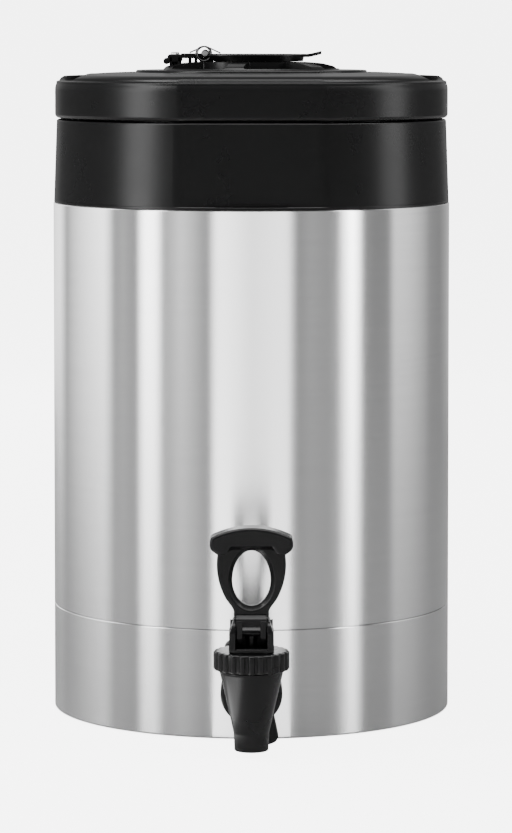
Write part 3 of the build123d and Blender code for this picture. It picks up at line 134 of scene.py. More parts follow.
flap_radius = 31.0
flap_bottom = 379.2
flap_top = 383.5
flap_round = 0.7
flap_under = 380.9
flap_edge = -21.55
notch_front = -18.2
notch_back = 11.1
bead_drop = 1.6
bead_inner = 17.4
bead_outer = 21.35
tab_root = 26.0
tab_tip = 41.0
tab_half_width = 9.0
tab_round = 6.0
tab_rise = 1.8
tab_curl_start = 33.0
tab_half_thickness = 0.95
hinge_x = -27.0
hinge_z = 383.8
hinge = (hinge_x, hinge_z)
knuckle_bore = 1.25
knuckle_radius = 2.3
knuckle_half_width = 6.0
web_depth = 2.1
cheek_inner = 6.3
cheek_outer = 9.3
arm_top = 383.8
arm_bottom = 381.0
block_top = 383.4
block_bottom = 378.6
bracket_screw_x = -44.75
bracket_screw_y = 3.5
pin_front = -17.6
pin_back = 10.5
pin_radius = 1.2
pin_head = 1.0
pin_head_radius = 2.0
spring_wire = 0.9
spring_radius = 4.09
spring_pitch = 1.45
coil_start = -10.5
spring_leg = 9.0
spring_sway = 1.2

faucet_y = -165.0
spout_bottom = 3.9
spout_bore = 7.2
shank_height = 30.9
shank_radius = 11.0
shank_bore = 6.8
shank_front = -136.5
shank_back = -105.0
hose_end = -88.3
flange_radius = 16.0
flange_front = -124.4
flange_back = -120.4
hose_radius = 8.8
barrel_top = 46.7
barrel_lip = 1.8
barrel_radius = 17.3
barrel_bore = 13.9
thread_radius = 16.2
thread_top = 55.5
valve_seat = 22.0
valve_hole = 6.0
tail_end = -138.5
tail_radius = 9.2
tail_bore = 6.5
groove_front = -141.0
groove_back = -139.4
groove_radius = 8.1
wing_front = -143.9
wing_back = -125.9
wing_middle = -134.9
wing_half_thickness = 3.5
wing_angle = np.radians(21.5)
wing_root = 11.4
wing_root_half_width = 8.0
wing_tip = 31.0
wing_tip_half_width = 4.6
wing_round = 4.4
hub_radius = 17.2
hub_floor = 2.8
nut_bottom = 48.7
nut_top = 59.1
nut_roof = 1.4
nut_radius = 20.8
nut_rib_count = 24
nut_rib_radius = 1.9
nut_rib_rise = 1.2
bonnet_radius = 12.3
bonnet_base = 59.4
bonnet_floor = 61.7
bonnet_flange = 56.5
spring_seat = 57.6
bonnet_bottom = 50.5
spring_pocket = 7.0
stem_hole = 3.05
stem_bottom = 25.3
stem_foot = 28.3
stem_foot_radius = 4.2
stem_radius = 3.0
stem_head = 65.5
stem_head_radius = 3.7
stem_top = 73.1
closing_radius = 5.0
closing_low = 35.6
closing_high = 56.9
closing_turns = 6
ear_inner = 8.7
ear_radius = 8.0
ear_shoulder = 69.2
ear_top_inset = 2.6
pivot_y = -171.0
pivot_z = 69.7
pivot = (pivot_y, pivot_z)

plate_front = pivot_y - 2.0
plate_back = pivot_y + 5.0
paddle_front = pivot_y - 9.0
hole_middle = pivot_z + 28.4
hole_half_width = 10.4
hole_above = 16.6
hole_below = 13.7
hole_flare = 2.6
fork_gap = 4.9
fork_half_width = 8.4


# Surfaces

def unit(vectors):
    """Vectors scaled to a length of one; one without length stays as it is."""
    return vectors / np.maximum(np.linalg.norm(vectors, axis=-1, keepdims=True), 1e-9)


def full_turn(count):
    """Angles right round, evenly spaced."""
    return np.linspace(0, 2 * np.pi, count, endpoint=False)


def points_at(x, y, z):
    """Points from three arrays of coordinates that broadcast together."""
    return np.stack(np.broadcast_arrays(x, y, z), axis=-1)


def rounded(corners, count=7, closed=True):
    """An outline of (across, up, rounding) corners as points.

    Each corner gives the arc that touches both its sides: the vectors from the arc's centre to its
    two ends, blended by the sines of the angle left and the angle gone. An open outline keeps its
    first and last corner as they are.
    """
    table = np.array([tuple(corner) + (0.0,) * (3 - len(corner)) for corner in corners])
    tip, radius = table[:, :2], table[:, 2:].copy()
    if not closed:
        radius[[0, -1]] = 0.0
    back = unit(np.roll(tip, 1, axis=0) - tip)
    ahead = unit(np.roll(tip, -1, axis=0) - tip)
    nearly_straight = 1 - 1e-7
    cosine = (back * ahead).sum(axis=1, keepdims=True)
    half = np.arccos(np.clip(cosine, -nearly_straight, nearly_straight)) / 2
    centre = tip + unit(back + ahead) * radius / np.sin(half)
    start = tip + back * radius / np.tan(half) - centre
    end = tip + ahead * radius / np.tan(half) - centre
    sweep = (np.pi - 2 * half)[:, None, :]
    share = np.linspace(0, 1, count)[None, :, None]
    arc = np.sin((1 - share) * sweep) * start[:, None] + np.sin(share * sweep) * end[:, None]
    points = (centre[:, None] + arc / np.sin(sweep)).reshape(-1, 2)
    keep = np.linalg.norm(points - np.roll(points, 1, axis=0), axis=1) > 1e-6
    keep[0] = True
    return points[keep]


def oblong(left, right, low, high, roundings=0.0, count=7):
    """A rectangle's outline, with one rounding or one for each corner, from the lower left to the right."""
    across = [left, right, right, left]
    up = [low, low, high, high]
    return rounded(np.stack([across, up, np.broadcast_to(roundings, 4)], axis=1), count)


def grid(points, wrap_rows=True, wrap_columns=True):
    """The quads of a (rows, columns, 3) array: each joins a point to the next in its row and column.

    A wrapped direction joins its last points to its first.
    """
    rows, columns = points.shape[:2]
    row, column = np.meshgrid(
        np.arange(rows if wrap_rows else rows - 1),
        np.arange(columns if wrap_columns else columns - 1),
        indexing="ij",
    )
    row_next, column_next = (row + 1) % rows, (column + 1) % columns
    corners = (
        row * columns + column,
        row * columns + column_next,
        row_next * columns + column_next,
        row_next * columns + column,
    )
    return points.reshape(-1, 3), [np.stack(corners, axis=-1).reshape(-1, 4)]


def capped(points):
    """The quads of rows of points that close round, with a flat face on the first and the last row."""
    rows, columns = points.shape[:2]
    ends = np.arange(columns) + np.array([[0], [(rows - 1) * columns]])
    vertices, faces = grid(points, wrap_rows=False)
    return vertices, faces + [ends]


def lathe(corners, axis="z", centre=(0.0, 0.0), columns=128, count=6):
    """A closed outline of (along, radius, rounding) corners turned about an axis.

    The point at a along and r out lies, at the angle t, r cos t and r sin t from the axis, which
    passes through centre.
    """
    profile = rounded(corners, count)
    along, radius = profile[:, :1], profile[:, 1:]
    turn = full_turn(columns)
    first = centre[0] + radius * np.cos(turn)
    second = centre[1] + radius * np.sin(turn)
    places = {"x": (along, first, second), "y": (first, along, second), "z": (first, second, along)}
    return grid(points_at(*places[axis]))


def ring(low, high, inner, outer, low_round=0.0, high_round=0.0, **turned):
    """A turned ring or, with an inner radius of 0, a disc, whose outer edges may be rounded."""
    corners = [(low, inner), (low, outer, low_round), (high, outer, high_round), (high, inner)]
    return lathe(corners, **turned)


def facing_front(across, up, depth):
    """Places an outline of (x, z) points, with its depth along y."""
    return across, depth, up


def facing_side(across, up, depth):
    """Places an outline of (y, z) points, with its depth along x."""
    return depth, across, up


def lying(across, up, depth):
    """Places an outline of (x, y) points, with its depth along z."""
    return across, up, depth


def softened(near, far, near_round, far_round, count=5):
    """(inset, depth) layers from near to far, with a quarter round of the given radius at each end."""
    turn = np.linspace(0, np.pi / 2, count)
    way = np.sign(far - near)
    first = np.stack([1 - np.sin(turn), way * (1 - np.cos(turn))], axis=1) * near_round
    last = np.stack([1 - np.sin(turn), -way * (1 - np.cos(turn))], axis=1) * far_round
    return np.concatenate([first + (0, near), last[::-1] + (0, far)])


def slab(outline, layers, place, pull=1.0):
    """An outline carried through (inset, depth) layers and closed by a flat face at each end.

    A point moves inwards by the inset, times pull, along the outline's normal there, which is its
    direction turned by a quarter. pull is one value, one a point, or one a layer and point.
    """
    ahead = np.roll(outline, -1, axis=0) - np.roll(outline, 1, axis=0)
    across, up = outline.T
    turned_left = (across * np.roll(up, -1) - np.roll(across, -1) * up).sum() > 0
    normal = unit(np.stack([-ahead[:, 1], ahead[:, 0]], axis=1)) * (1 if turned_left else -1)
    inset, depth = np.array(layers).T[:, :, None]
    moved = outline + (inset * pull)[..., None] * normal
    return capped(points_at(*place(moved[..., 0], moved[..., 1], depth)))


def wire(path, radius, axis, sides=14):
    """A round wire along a path: a circle of points across its direction at each of its points.

    The circle's first arm is the direction crossed with a fixed axis, and its second the first
    crossed with the direction. A flat face closes each end.
    """
    ahead = unit(np.gradient(path, axis=0))
    first = unit(np.cross(ahead, axis))
    second = np.cross(first, ahead)
    turn = full_turn(sides)[None, :, None]
    circle = np.cos(turn) * first[:, None] + np.sin(turn) * second[:, None]
    return capped(path[:, None] + radius * circle)


def at_front(radius, height, turn):
    """Points at a radius and height, with the angle turn counted from the front towards +X."""
    return points_at(radius * np.sin(turn), -radius * np.cos(turn), height)


def lesser(first, second, blend):
    """The lesser of two arrays, rounded off where they differ by less than blend.

    It is second + (first - second) h - blend h (1 - h), with h going from 0 to 1 over that range.
    """
    share = np.clip(0.5 + (second - first) / (2 * blend), 0, 1)
    return second + (first - second) * share - blend * share * (1 - share)


def front_turns(columns):
    """Angles right round from the back, closer together at both corners of the flat front."""
    even = np.linspace(-np.pi, np.pi, columns, endpoint=False)
    near = np.linspace(-0.035, 0.035, 15)
    return np.unique(np.concatenate([even, panel_angle + near, near - panel_angle]))


def flat_plan(turn, radius, distance, blend=0.5):
    """A round plan with a flat front: the lesser of the radius and the flat's distance over cos turn."""
    return lesser(radius, distance / np.maximum(np.cos(turn), 0.2), blend)


# Putting surfaces into the scene

def placed(name, data):
    """A new object in the scene."""
    made = bpy.data.objects.new(name, data)
    bpy.context.scene.collection.objects.link(made)
    return made


def mesh_of(name, shells, sharp):
    """One mesh of several closed shells in millimetres, merged, facing outwards and smooth-shaded."""
    starts = np.cumsum([0] + [len(points) for points, _ in shells])
    points = np.concatenate([points for points, _ in shells]) * 0.001
    blocks = [(block + start).tolist() for start, (_, faces) in zip(starts, shells) for block in faces]
    mesh = bpy.data.meshes.new(name)
    mesh.from_pydata(points.tolist(), [], list(chain(*blocks)))
    work = bmesh.new()
    work.from_mesh(mesh)
    bmesh.ops.remove_doubles(work, verts=work.verts, dist=2e-6)
    bmesh.ops.delete(work, geom=[edge for edge in work.edges if not edge.link_faces], context="EDGES")
    bmesh.ops.recalc_face_normals(work, faces=work.faces)
    work.to_mesh(mesh)
    work.free()
    mesh.shade_smooth()
    mesh.set_sharp_from_angle(angle=np.radians(sharp))
    return mesh


def carve(shown, cutters, sharp):
    """Takes closed cutter shells out of a piece's mesh and shades what is left as before."""
    tools = []
    for index, shell in enumerate(cutters):
        tool = placed(f"cutter_{index}", mesh_of(f"cutter_{index}", [shell], sharp))
        cut = shown.modifiers.new(tool.name, "BOOLEAN")
        cut.operation = "DIFFERENCE"
        cut.solver = "EXACT"
        cut.object = tool
        tools.append(tool)
    bpy.context.view_layer.update()
    solid = shown.evaluated_get(bpy.context.evaluated_depsgraph_get())
    mesh = bpy.data.meshes.new_from_object(solid)
    shown.modifiers.clear()
    shown.data = mesh
    mesh.shade_smooth()
    mesh.set_sharp_from_angle(angle=np.radians(sharp))
    for tool in tools:
        bpy.data.objects.remove(tool)


def piece(name, body, node, shells, finish, sharp=33, cutters=(), even=False):
    """A piece of the part that rides on a body and stands for a node, in its finish's material slot.

    even adds shading weighted by face area, for large flats beside small rounds.
    """
    shown = placed(name, mesh_of(name, shells, sharp))
    shown.data.materials.append(finish)
    if cutters:
        carve(shown, cutters, sharp)
    if even:
        weighted = shown.modifiers.new("even_shading", "WEIGHTED_NORMAL")
        weighted.keep_sharp = True
    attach(shown, body)
    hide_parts(node)
    return shown


# Finishes

def add(tree, kind, inputs=None, **settings):
    """A node with its settings, and its inputs set to values or linked to sockets."""
    made = tree.nodes.new(kind)
    for name, value in settings.items():
        setattr(made, name, value)
    for name, value in (inputs or {}).items():
        if isinstance(value, bpy.types.NodeSocket):
            tree.links.new(value, made.inputs[name])
        else:
            made.inputs[name].default_value = value
    return made


def effect(name, inputs, build):
    """A shader node group with named float inputs; build makes its nodes and returns its outputs by name."""
    tree = bpy.data.node_groups.new(name, "ShaderNodeTree")
    for label, value in inputs.items():
        tree.interface.new_socket(label, in_out="INPUT", socket_type="NodeSocketFloat").default_value = value
    outputs = build(tree, tree.nodes.new("NodeGroupInput").outputs)
    for label in outputs:
        tree.interface.new_socket(label, in_out="OUTPUT", socket_type="NodeSocketFloat")
    put = tree.nodes.new("NodeGroupOutput").inputs
    for label, socket in outputs.items():
        tree.links.new(socket, put[label])
    return tree


def object_place(tree):
    """The place on the object, in metres."""
    return add(tree, "ShaderNodeTexCoord").outputs["Object"]


def noise(tree, place, scale, detail, roughness=0.5):
    """Noise at a place, from 0 to 1."""
    inputs = {"Vector": place, "Scale": scale, "Detail": detail, "Roughness": roughness}
    return add(tree, "ShaderNodeTexNoise", inputs).outputs["Fac"]


def between(tree, value, low, high, to_low, to_high):
    """A value mapped from one range to another."""
    inputs = {"Value": value, "From Min": low, "From Max": high, "To Min": to_low, "To Max": to_high}
    return add(tree, "ShaderNodeMapRange", inputs).outputs["Result"]


def times(tree, first, second):
    """The product of two values."""
    return add(tree, "ShaderNodeMath", {0: first, 1: second}, operation="MULTIPLY").outputs[0]


def moulded_grain(tree, given):
    """Effect: the fine pebbled skin of moulded plastic, with broad patches of polish from handling."""
    place = object_place(tree)
    patches = noise(tree, place, 22.0, 4.0, 0.6)
    return {
        "Height": noise(tree, place, given["Grain Scale"], 2.0),
        "Roughness": between(tree, patches, 0.35, 0.65, given["Smooth"], given["Rough"]),
    }


def brush_lines(tree, given):
    """Effect: scratches of a brushed surface, long round the Z axis and very short along it."""
    parts = add(tree, "ShaderNodeSeparateXYZ", {"Vector": object_place(tree)}).outputs
    x = times(tree, parts["X"], given["Length"])
    y = times(tree, parts["Y"], given["Length"])
    z = times(tree, parts["Z"], given["Fineness"])
    broad_z = times(tree, z, 0.12)
    fine = add(tree, "ShaderNodeCombineXYZ", {"X": x, "Y": y, "Z": z}).outputs["Vector"]
    broad = add(tree, "ShaderNodeCombineXYZ", {"X": x, "Y": y, "Z": broad_z}).outputs["Vector"]
    lines = noise(tree, fine, 1.0, 3.0, 0.65)
    return {
        "Height": lines,
        "Roughness": between(tree, lines, 0.3, 0.7, given["Smooth"], given["Rough"]),
        "Tone": noise(tree, broad, 1.0, 2.0),
    }


def cloudy(tree, given):
    """Effect: soft clouds of tone at a chosen scale, for rubber, silicone, foam and plain steel."""
    clouds = noise(tree, object_place(tree), given["Scale"], 5.0)
    return {"Height": clouds, "Roughness": between(tree, clouds, 0.3, 0.7, given["Smooth"], given["Rough"])}


grain_effect = effect("moulded_grain", {"Grain Scale": 1800.0, "Smooth": 0.3, "Rough": 0.45}, moulded_grain)
brush_inputs = {"Fineness": 3500.0, "Length": 9.0, "Smooth": 0.2, "Rough": 0.3}
brush_effect = effect("brush_lines", brush_inputs, brush_lines)
cloud_effect = effect("cloudy", {"Scale": 60.0, "Smooth": 0.4, "Rough": 0.6}, cloudy)


def blank(name):
    """A material with only its Principled shader, its node tree and that shader."""
    material = bpy.data.materials.new(name)
    material.use_nodes = True
    return material, material.node_tree, material.node_tree.nodes["Principled BSDF"]


def surface(name, group, given, tone, colours, strength, depth, constants):
    """A material in which an effect blends two colours and sets the polish and a bump."""
    material, tree, shader = blank(name)
    made = add(tree, "ShaderNodeGroup", given, node_tree=group).outputs
    dark, light = colours
    shades = {"Factor": made[tone], 6: (*dark, 1), 7: (*light, 1)}
    mixed = add(tree, "ShaderNodeMix", shades, data_type="RGBA")
    dents = {"Height": made["Height"], "Strength": strength, "Distance": depth}
    tree.links.new(mixed.outputs[2], shader.inputs["Base Color"])
    tree.links.new(made["Roughness"], shader.inputs["Roughness"])
    tree.links.new(add(tree, "ShaderNodeBump", dents).outputs["Normal"], shader.inputs["Normal"])
    for label, value in constants.items():
        shader.inputs[label].default_value = value
    return material


def moulded(name, dark, light, smooth, rough, scale, depth, specular):
    """Moulded plastic: near-even colour, pebbled skin, polish that varies with handling."""
    given = {"Grain Scale": scale, "Smooth": smooth, "Rough": rough}
    constants = {"Specular IOR Level": specular}
    return surface(name, grain_effect, given, "Height", (dark, light), 0.25, depth, constants)


def brushed(name, dark, light, smooth, rough, anisotropy, fineness, length, depth):
    """Brushed steel: lines round the Z axis that stretch every highlight up and down."""
    given = {"Fineness": fineness, "Length": length, "Smooth": smooth, "Rough": rough}
    constants = {"Metallic": 1.0, "Anisotropic": anisotropy, "Anisotropic Rotation": 0.25}
    material = surface(name, brush_effect, given, "Tone", (dark, light), 0.5, depth, constants)
    tree = material.node_tree
    around = add(tree, "ShaderNodeTangent", direction_type="RADIAL", axis="Z").outputs["Tangent"]
    tree.links.new(around, tree.nodes["Principled BSDF"].inputs["Tangent"])
    return material


def clouded(name, dark, light, smooth, rough, scale, depth, metallic=0.0):
    """A plain finish with soft clouds in its colour and polish, and a faint bump."""
    given = {"Scale": scale, "Smooth": smooth, "Rough": rough}
    return surface(name, cloud_effect, given, "Height", (dark, light), 0.2, depth, {"Metallic": metallic})


black = (0.005, 0.005, 0.0053), (0.007, 0.007, 0.0073)
brushed_steel = brushed(
    "brushed_steel", (0.60, 0.60, 0.605), (0.66, 0.66, 0.66),
    smooth=0.19, rough=0.23, anisotropy=1.0, fineness=3800, length=10, depth=2e-5,
)
vessel_steel = brushed(
    "vessel_steel", (0.55, 0.55, 0.555), (0.62, 0.62, 0.62),
    smooth=0.28, rough=0.40, anisotropy=0.6, fineness=1600, length=14, depth=3e-5,
)
lid_black = moulded("lid_black", *black, smooth=0.27, rough=0.30, scale=2200, depth=1e-5, specular=0.45)
faucet_black = moulded("faucet_black", *black, smooth=0.25, rough=0.28, scale=2600, depth=1e-5, specular=0.45)
plug_grey = moulded(
    "plug_grey", (0.030, 0.030, 0.032), (0.045, 0.045, 0.047),
    smooth=0.40, rough=0.55, scale=1500, depth=4e-5, specular=0.5,
)
bright_steel = clouded(
    "bright_steel", (0.62, 0.62, 0.63), (0.74, 0.74, 0.74),
    smooth=0.14, rough=0.26, scale=300, depth=1e-5, metallic=1.0,
)
spring_steel = clouded(
    "spring_steel", (0.05, 0.05, 0.052), (0.12, 0.12, 0.12),
    smooth=0.18, rough=0.28, scale=300, depth=1e-5, metallic=1.0,
)
zinc_steel = clouded(
    "zinc_steel", (0.38, 0.39, 0.40), (0.55, 0.55, 0.55),
    smooth=0.35, rough=0.55, scale=120, depth=3e-5, metallic=1.0,
)
silicone = clouded(
    "silicone", (0.50, 0.49, 0.46), (0.62, 0.61, 0.58), smooth=0.40, rough=0.55, scale=90, depth=3e-5,
)
foot_rubber = clouded(
    "foot_rubber", (0.012, 0.012, 0.012), (0.022, 0.022, 0.022),
    smooth=0.60, rough=0.80, scale=400, depth=5e-5,
)
foam = clouded("foam", (0.62, 0.55, 0.38), (0.78, 0.72, 0.55), smooth=0.85, rough=0.98, scale=500, depth=3e-4)


# Steel body

piece(
    "shell_wall", "server", "outer_shell",
    [lathe([
        (base_height + 0.3, shell_inner),
        (base_height + 0.3, shell_radius, 0.25),
        (shell_top, shell_radius, sheet),
        (shell_top, shell_radius - hem),
        (shell_top - sheet, shell_radius - hem),
        (shell_top - sheet, shell_inner),
    ], columns=wide_columns)],
    brushed_steel, even=True,
)
piece(
    "base_band", "server", "base_skirt",
    [lathe([
        (floor_gap, shell_radius - hem),
        (floor_gap, shell_radius, 1.5 * sheet),
        (base_height, shell_radius, seam_round),
        (base_height, spigot_radius),
        (base_height + spigot_rise, spigot_radius),
        (base_height + spigot_rise, spigot_radius - sheet),
        (base_height - sheet, spigot_radius - sheet),
        (base_height - sheet, shell_inner),
        (floor_gap + sheet, shell_inner),
        (floor_gap + sheet, shell_radius - hem),
    ], columns=wide_columns)],
    brushed_steel, even=True,
)
piece(
    "bottom_cover", "server", "base_pan",
    [lathe([
        (pan_height, 0),
        (pan_height, spigot_radius - 3, 1.0),
        (floor_gap + sheet, spigot_radius - 3, 0.6),
        (floor_gap + sheet, spigot_radius, 0.6),
        (pan_floor, spigot_radius),
        (pan_floor, 0),
    ], columns=ring_columns)],
    lid_black,
)
piece(
    "standing_ring", "server", "foot_ring",
    [lathe([
        (0, foot_radius - foot_width, 1.0),
        (0, foot_radius, 1.0),
        (pan_height, foot_radius),
        (pan_height, foot_radius - foot_width),
    ], columns=ring_columns)],
    foot_rubber,
)


def screws(places, low, high, radius, head_low, head_high, head_radius):
    """Screws on upright axes: a shank and a domed head, each turned about its place."""
    crown = 0.45 * abs(head_high - head_low)
    shells = []
    for place in places:
        shells.append(ring(low, high, 0, radius, centre=place, columns=20))
        shells.append(ring(head_low, head_high, 0, head_radius, 0, crown, centre=place, columns=32))
    return shells


def circle_places(radius, count, first):
    """Places on a circle, from a first angle in degrees."""
    turn = np.radians(first) + full_turn(count)
    return np.stack([radius * np.cos(turn), radius * np.sin(turn)], axis=1)


piece(
    "cover_screws", "server", "base_screws",
    screws(
        circle_places(base_screw_circle, 4, 45), low=pan_height, high=pan_height + 8, radius=2.0,
        head_low=pan_height, head_high=3.8, head_radius=4.0,
    ),
    bright_steel,
)

# Vessel inside the mouth

outlet = {"centre": (0, outlet_y), "columns": 48}
piece(
    "vessel", "server", "liner",
    [lathe([
        (liner_floor - sheet, 0),
        (liner_floor - sheet, liner_radius, liner_corner),
        (liner_top - sheet, liner_radius),
        (liner_top - sheet, liner_radius + liner_flange),
        (liner_top, liner_radius + liner_flange),
        (liner_top, liner_radius - sheet),
        (liner_floor, liner_radius - sheet, liner_corner - sheet),
        (liner_floor, 0),
    ], columns=ring_columns)],
    vessel_steel,
    cutters=[ring(liner_floor - 4, liner_floor + 4, 0, outlet_radius - sheet, **outlet)],
)
piece(
    "vessel_outlet", "server", "liner",
    [ring(outlet_low, liner_floor - sheet, outlet_radius - sheet, outlet_radius, **outlet)],
    vessel_steel,
)
piece(
    "mouth_seal", "server", "liner_seal",
    [lathe([
        (liner_top, mouth_radius, 0.4),
        (liner_top, liner_radius + liner_flange, 0.2),
        (seal_top, liner_radius + liner_flange, 0.2),
        (seal_top, mouth_radius, 0.4),
    ], columns=ring_columns)],
    silicone,
)


# Collar

def flat_fronted(rows, columns, blend=0.5):
    """A closed grid of rows round the axis, each with a radius, a height and its flat front's distance."""
    turn = front_turns(columns)
    return grid(at_front(flat_plan(turn, rows[:, :1], rows[:, 2:], blend), rows[:, 1:2], turn))


def collar_surface():
    """The collar as one closed grid of rows round the axis.

    Each row has a radius, a height and the distance of the flat front, far off where the row is
    round. The rows go up the outside, over the seat, down the mouth and back up the inside wall.
    """
    quarter = np.linspace(0, np.pi / 2, 8)
    head = collar_head_round
    slope = (collar_head_radius - collar_foot_radius) / (collar_top - shell_top)
    heights = np.array([panel_bottom, panel_bottom + 0.1, collar_top - head])
    side = np.stack([
        collar_foot_radius + slope * (heights - shell_top),
        heights,
        np.full(3, panel_distance),
    ], axis=1)
    side[0, 2] += 0.1
    top = np.stack([
        collar_head_radius - head + head * np.cos(quarter),
        collar_top - head + head * np.sin(quarter),
        panel_distance - head + head * np.cos(quarter),
    ], axis=1)
    outside = np.array([
        (collar_spigot_radius, shell_top, no_panel),
        (collar_foot_radius - 0.3, shell_top, no_panel),
        (collar_foot_radius, shell_top + 0.3, no_panel),
        (collar_foot_radius, panel_bottom - 0.4, no_panel),
        (collar_foot_radius - 0.3, panel_bottom, no_panel),
    ])
    seat = rounded([
        (seat_radius, collar_top),
        (seat_radius, lid_seat, 0.7),
        (mouth_radius, lid_seat, 0.7),
        (mouth_radius, seal_top),
    ], closed=False)
    seat = np.column_stack([seat, np.full(len(seat), no_panel)])
    inside = np.array([
        (mouth_radius + moulding, seal_top, no_panel),
        (mouth_radius + moulding, collar_top - moulding, no_panel),
        (collar_head_radius - moulding, collar_top - moulding, panel_distance - moulding),
        (collar_foot_radius - moulding, shell_top + moulding, panel_distance - moulding),
        (collar_spigot_radius - moulding, shell_top + moulding, no_panel),
        (collar_spigot_radius - moulding, collar_spigot_bottom, no_panel),
        (collar_spigot_radius, collar_spigot_bottom, no_panel),
    ])
    return flat_fronted(np.concatenate([outside, side, top, seat, inside]), wide_columns, 0.9)


piece("collar_ring", "server", "collar", [collar_surface()], lid_black, sharp=40, even=True)


# Lid

def lid_surface():
    """The lid's cap as one closed grid of rows round the axis.

    The rim's rows are the flat-fronted plan moved inwards along a profile: a wall with a rounded foot,
    then a quarter circle with a small bead and a shallow dip above it, each a bell of the angle. The
    crown's rows are round: an arc for the dome, then the disc, the bulging cone, the brew hole and
    the ceiling.
    """
    turn = front_turns(wide_columns)
    wall = rounded([
        (rim_wall, lid_ceiling),
        (rim_wall, rim_bottom, 0.4),
        (0, rim_bottom, rim_foot_round),
        (0, rim_top - rim_round),
    ], count=9, closed=False)
    rise = np.linspace(0, np.pi / 2, 61)[1:]
    bead = rim_bead * np.exp(-((rise - bead_angle) / 0.075) ** 2)
    dip = rim_bead * np.exp(-((rise - bead_angle - 0.2) / 0.1) ** 2)
    reach = rim_round + bead - dip
    curve = np.stack([rim_round - reach * np.cos(rise), rim_top - rim_round + reach * np.sin(rise)], axis=1)
    rim = np.concatenate([wall, curve])
    rim_radius = flat_plan(turn, lid_radius - rim[:, :1], panel_distance - rim[:, :1])
    share = np.linspace(0, 1, 9)
    dome_radius = dome_edge + (disc_radius - dome_edge) * share
    dome_height = rim_top + (dome_top - rim_top) * share + 4 * dome_bulge * share * (1 - share)
    dome = np.stack([dome_radius, dome_height], axis=1)
    crown = rounded([
        (disc_radius, dome_top),
        (disc_radius, disc_top, 0.9),
        (cone_radius, disc_top, 0.5),
        (cone_radius - 2, disc_top + 2.1, 3.0),
        (cone_radius - 9, disc_top + 3.8, 20.0),
        (cone_radius - 18, cone_top - 0.1, 40.0),
        (cone_top_radius, cone_top, 20.0),
        (sleeve_radius + fit, cone_top, 0.3),
        (sleeve_radius + fit, lid_ceiling),
    ], closed=False)
    middle = np.concatenate([dome, crown[1:]])
    radius = np.concatenate([rim_radius, np.repeat(middle[:, :1], len(turn), axis=1)])
    return grid(at_front(radius, np.concatenate([rim, middle])[:, 1:], turn))


def pocket_plan(side):
    """A finger pocket's plan: the points between a straight line and an arc, with rounded corners."""
    end = np.arccos(pocket_distance / pocket_radius)
    arc = np.linspace(-end, end, 25)
    rim = np.stack([pocket_radius * np.cos(arc), pocket_radius * np.sin(arc), np.zeros(25)], axis=1)
    rim[[0, -1], 2] = 0.9
    return rounded(rim) * (side, 1)


def pocket_cutter(side):
    """The pocket's mouth: its plan flared towards the rim on the front half of its arc."""
    outline = pocket_plan(side)
    from_line = np.abs(outline[:, 0]) - pocket_distance
    pull = 0.15 + 0.85 * np.clip(from_line / 4, 0, 1) * np.clip(0.5 - outline[:, 1] / 16, 0, 1)
    layers = np.array([
        (0, -3), (0, 0), (-0.9, 0.2), (-2.4, 0.7), (-3.6, 1.6), (-4.6, 3), (-5.4, 5), (-5.4, 9),
    ]) + (0, lid_ceiling)
    return slab(outline, layers, lying, pull)


def pocket_cup(side):
    """The pocket's cup under the lid: its plan carried up the outside, over the lip and down to the floor."""
    layers = [
        (0.5, pocket_floor - pocket_wall), (-1.2, pocket_floor - 2), (-pocket_wall, pocket_floor),
        (-pocket_wall, lid_ceiling), (0, lid_ceiling), (0, pocket_floor + 2),
        (0.6, pocket_floor + 0.6), (2.0, pocket_floor),
    ]
    return slab(pocket_plan(side), layers, lying)


def window_cutter(first):
    """A window of the cone: two arcs joined by sides that run parallel to the ribs beside it."""
    side = np.radians(np.array([first, first + rib_step]))
    inner = np.arcsin(rib_half_width / window_inner)
    outer = np.arcsin(rib_half_width / window_outer)
    far = np.linspace(side[0] + outer, side[1] - outer, 13)
    near = np.linspace(side[1] - inner, side[0] + inner, 9)
    turn = np.concatenate([far, near])
    reach = np.concatenate([np.full(13, window_outer), np.full(9, window_inner)])
    corners = np.stack([reach * np.cos(turn), reach * np.sin(turn), np.zeros(22)], axis=1)
    corners[[0, 12, 13, 21], 2] = 1.2
    layers = [(0.4, window_floor), (0, window_floor + 0.4), (0, window_over)]
    return slab(rounded(corners, count=5), layers, lying)


piece(
    "lid_top", "lid", "lid_cap", [lid_surface()], lid_black, sharp=38, even=True,
    cutters=[pocket_cutter(1), pocket_cutter(-1)]
    + [window_cutter(rib_angle + rib_step * index) for index in (0, 1, 2, 3, 5)],
)
piece("finger_pockets", "lid", "lid_cap", [pocket_cup(1), pocket_cup(-1)], lid_black)

flange_inset = rim_wall + fit
plug_flange = np.array([
    (plug_radius - 4, lid_seat + play, no_panel),
    (lid_radius - flange_inset, lid_seat + play, panel_distance - flange_inset),
    (lid_radius - flange_inset, plug_top, panel_distance - flange_inset),
    (plug_radius - 4, plug_top, no_panel),
])
piece(
    "lid_underside", "lid", "lid_plug",
    [
        flat_fronted(plug_flange, ring_columns),
        lathe([
            (plug_bottom, sleeve_radius + fit),
            (plug_bottom, plug_radius, 3.0),
            (gasket_bottom, plug_radius, 0.3),
            (gasket_bottom, plug_radius - 2),
            (gasket_top, plug_radius - 2),
            (gasket_top, plug_radius, 0.3),
            (plug_top, plug_radius),
            (plug_top, plug_radius - plug_wall),
            (plug_bottom + 3, plug_radius - plug_wall),
            (plug_bottom + 3, sleeve_radius + fit),
        ], columns=ring_columns),
    ],
    lid_black,
)
piece(
    "lid_ring", "lid", "lid_gasket",
    [ring(
        gasket_bottom + fit, gasket_top - fit, plug_radius - 1.8, mouth_radius - play, 1.2, 1.2,
        columns=ring_columns,
    )],
    silicone,
)
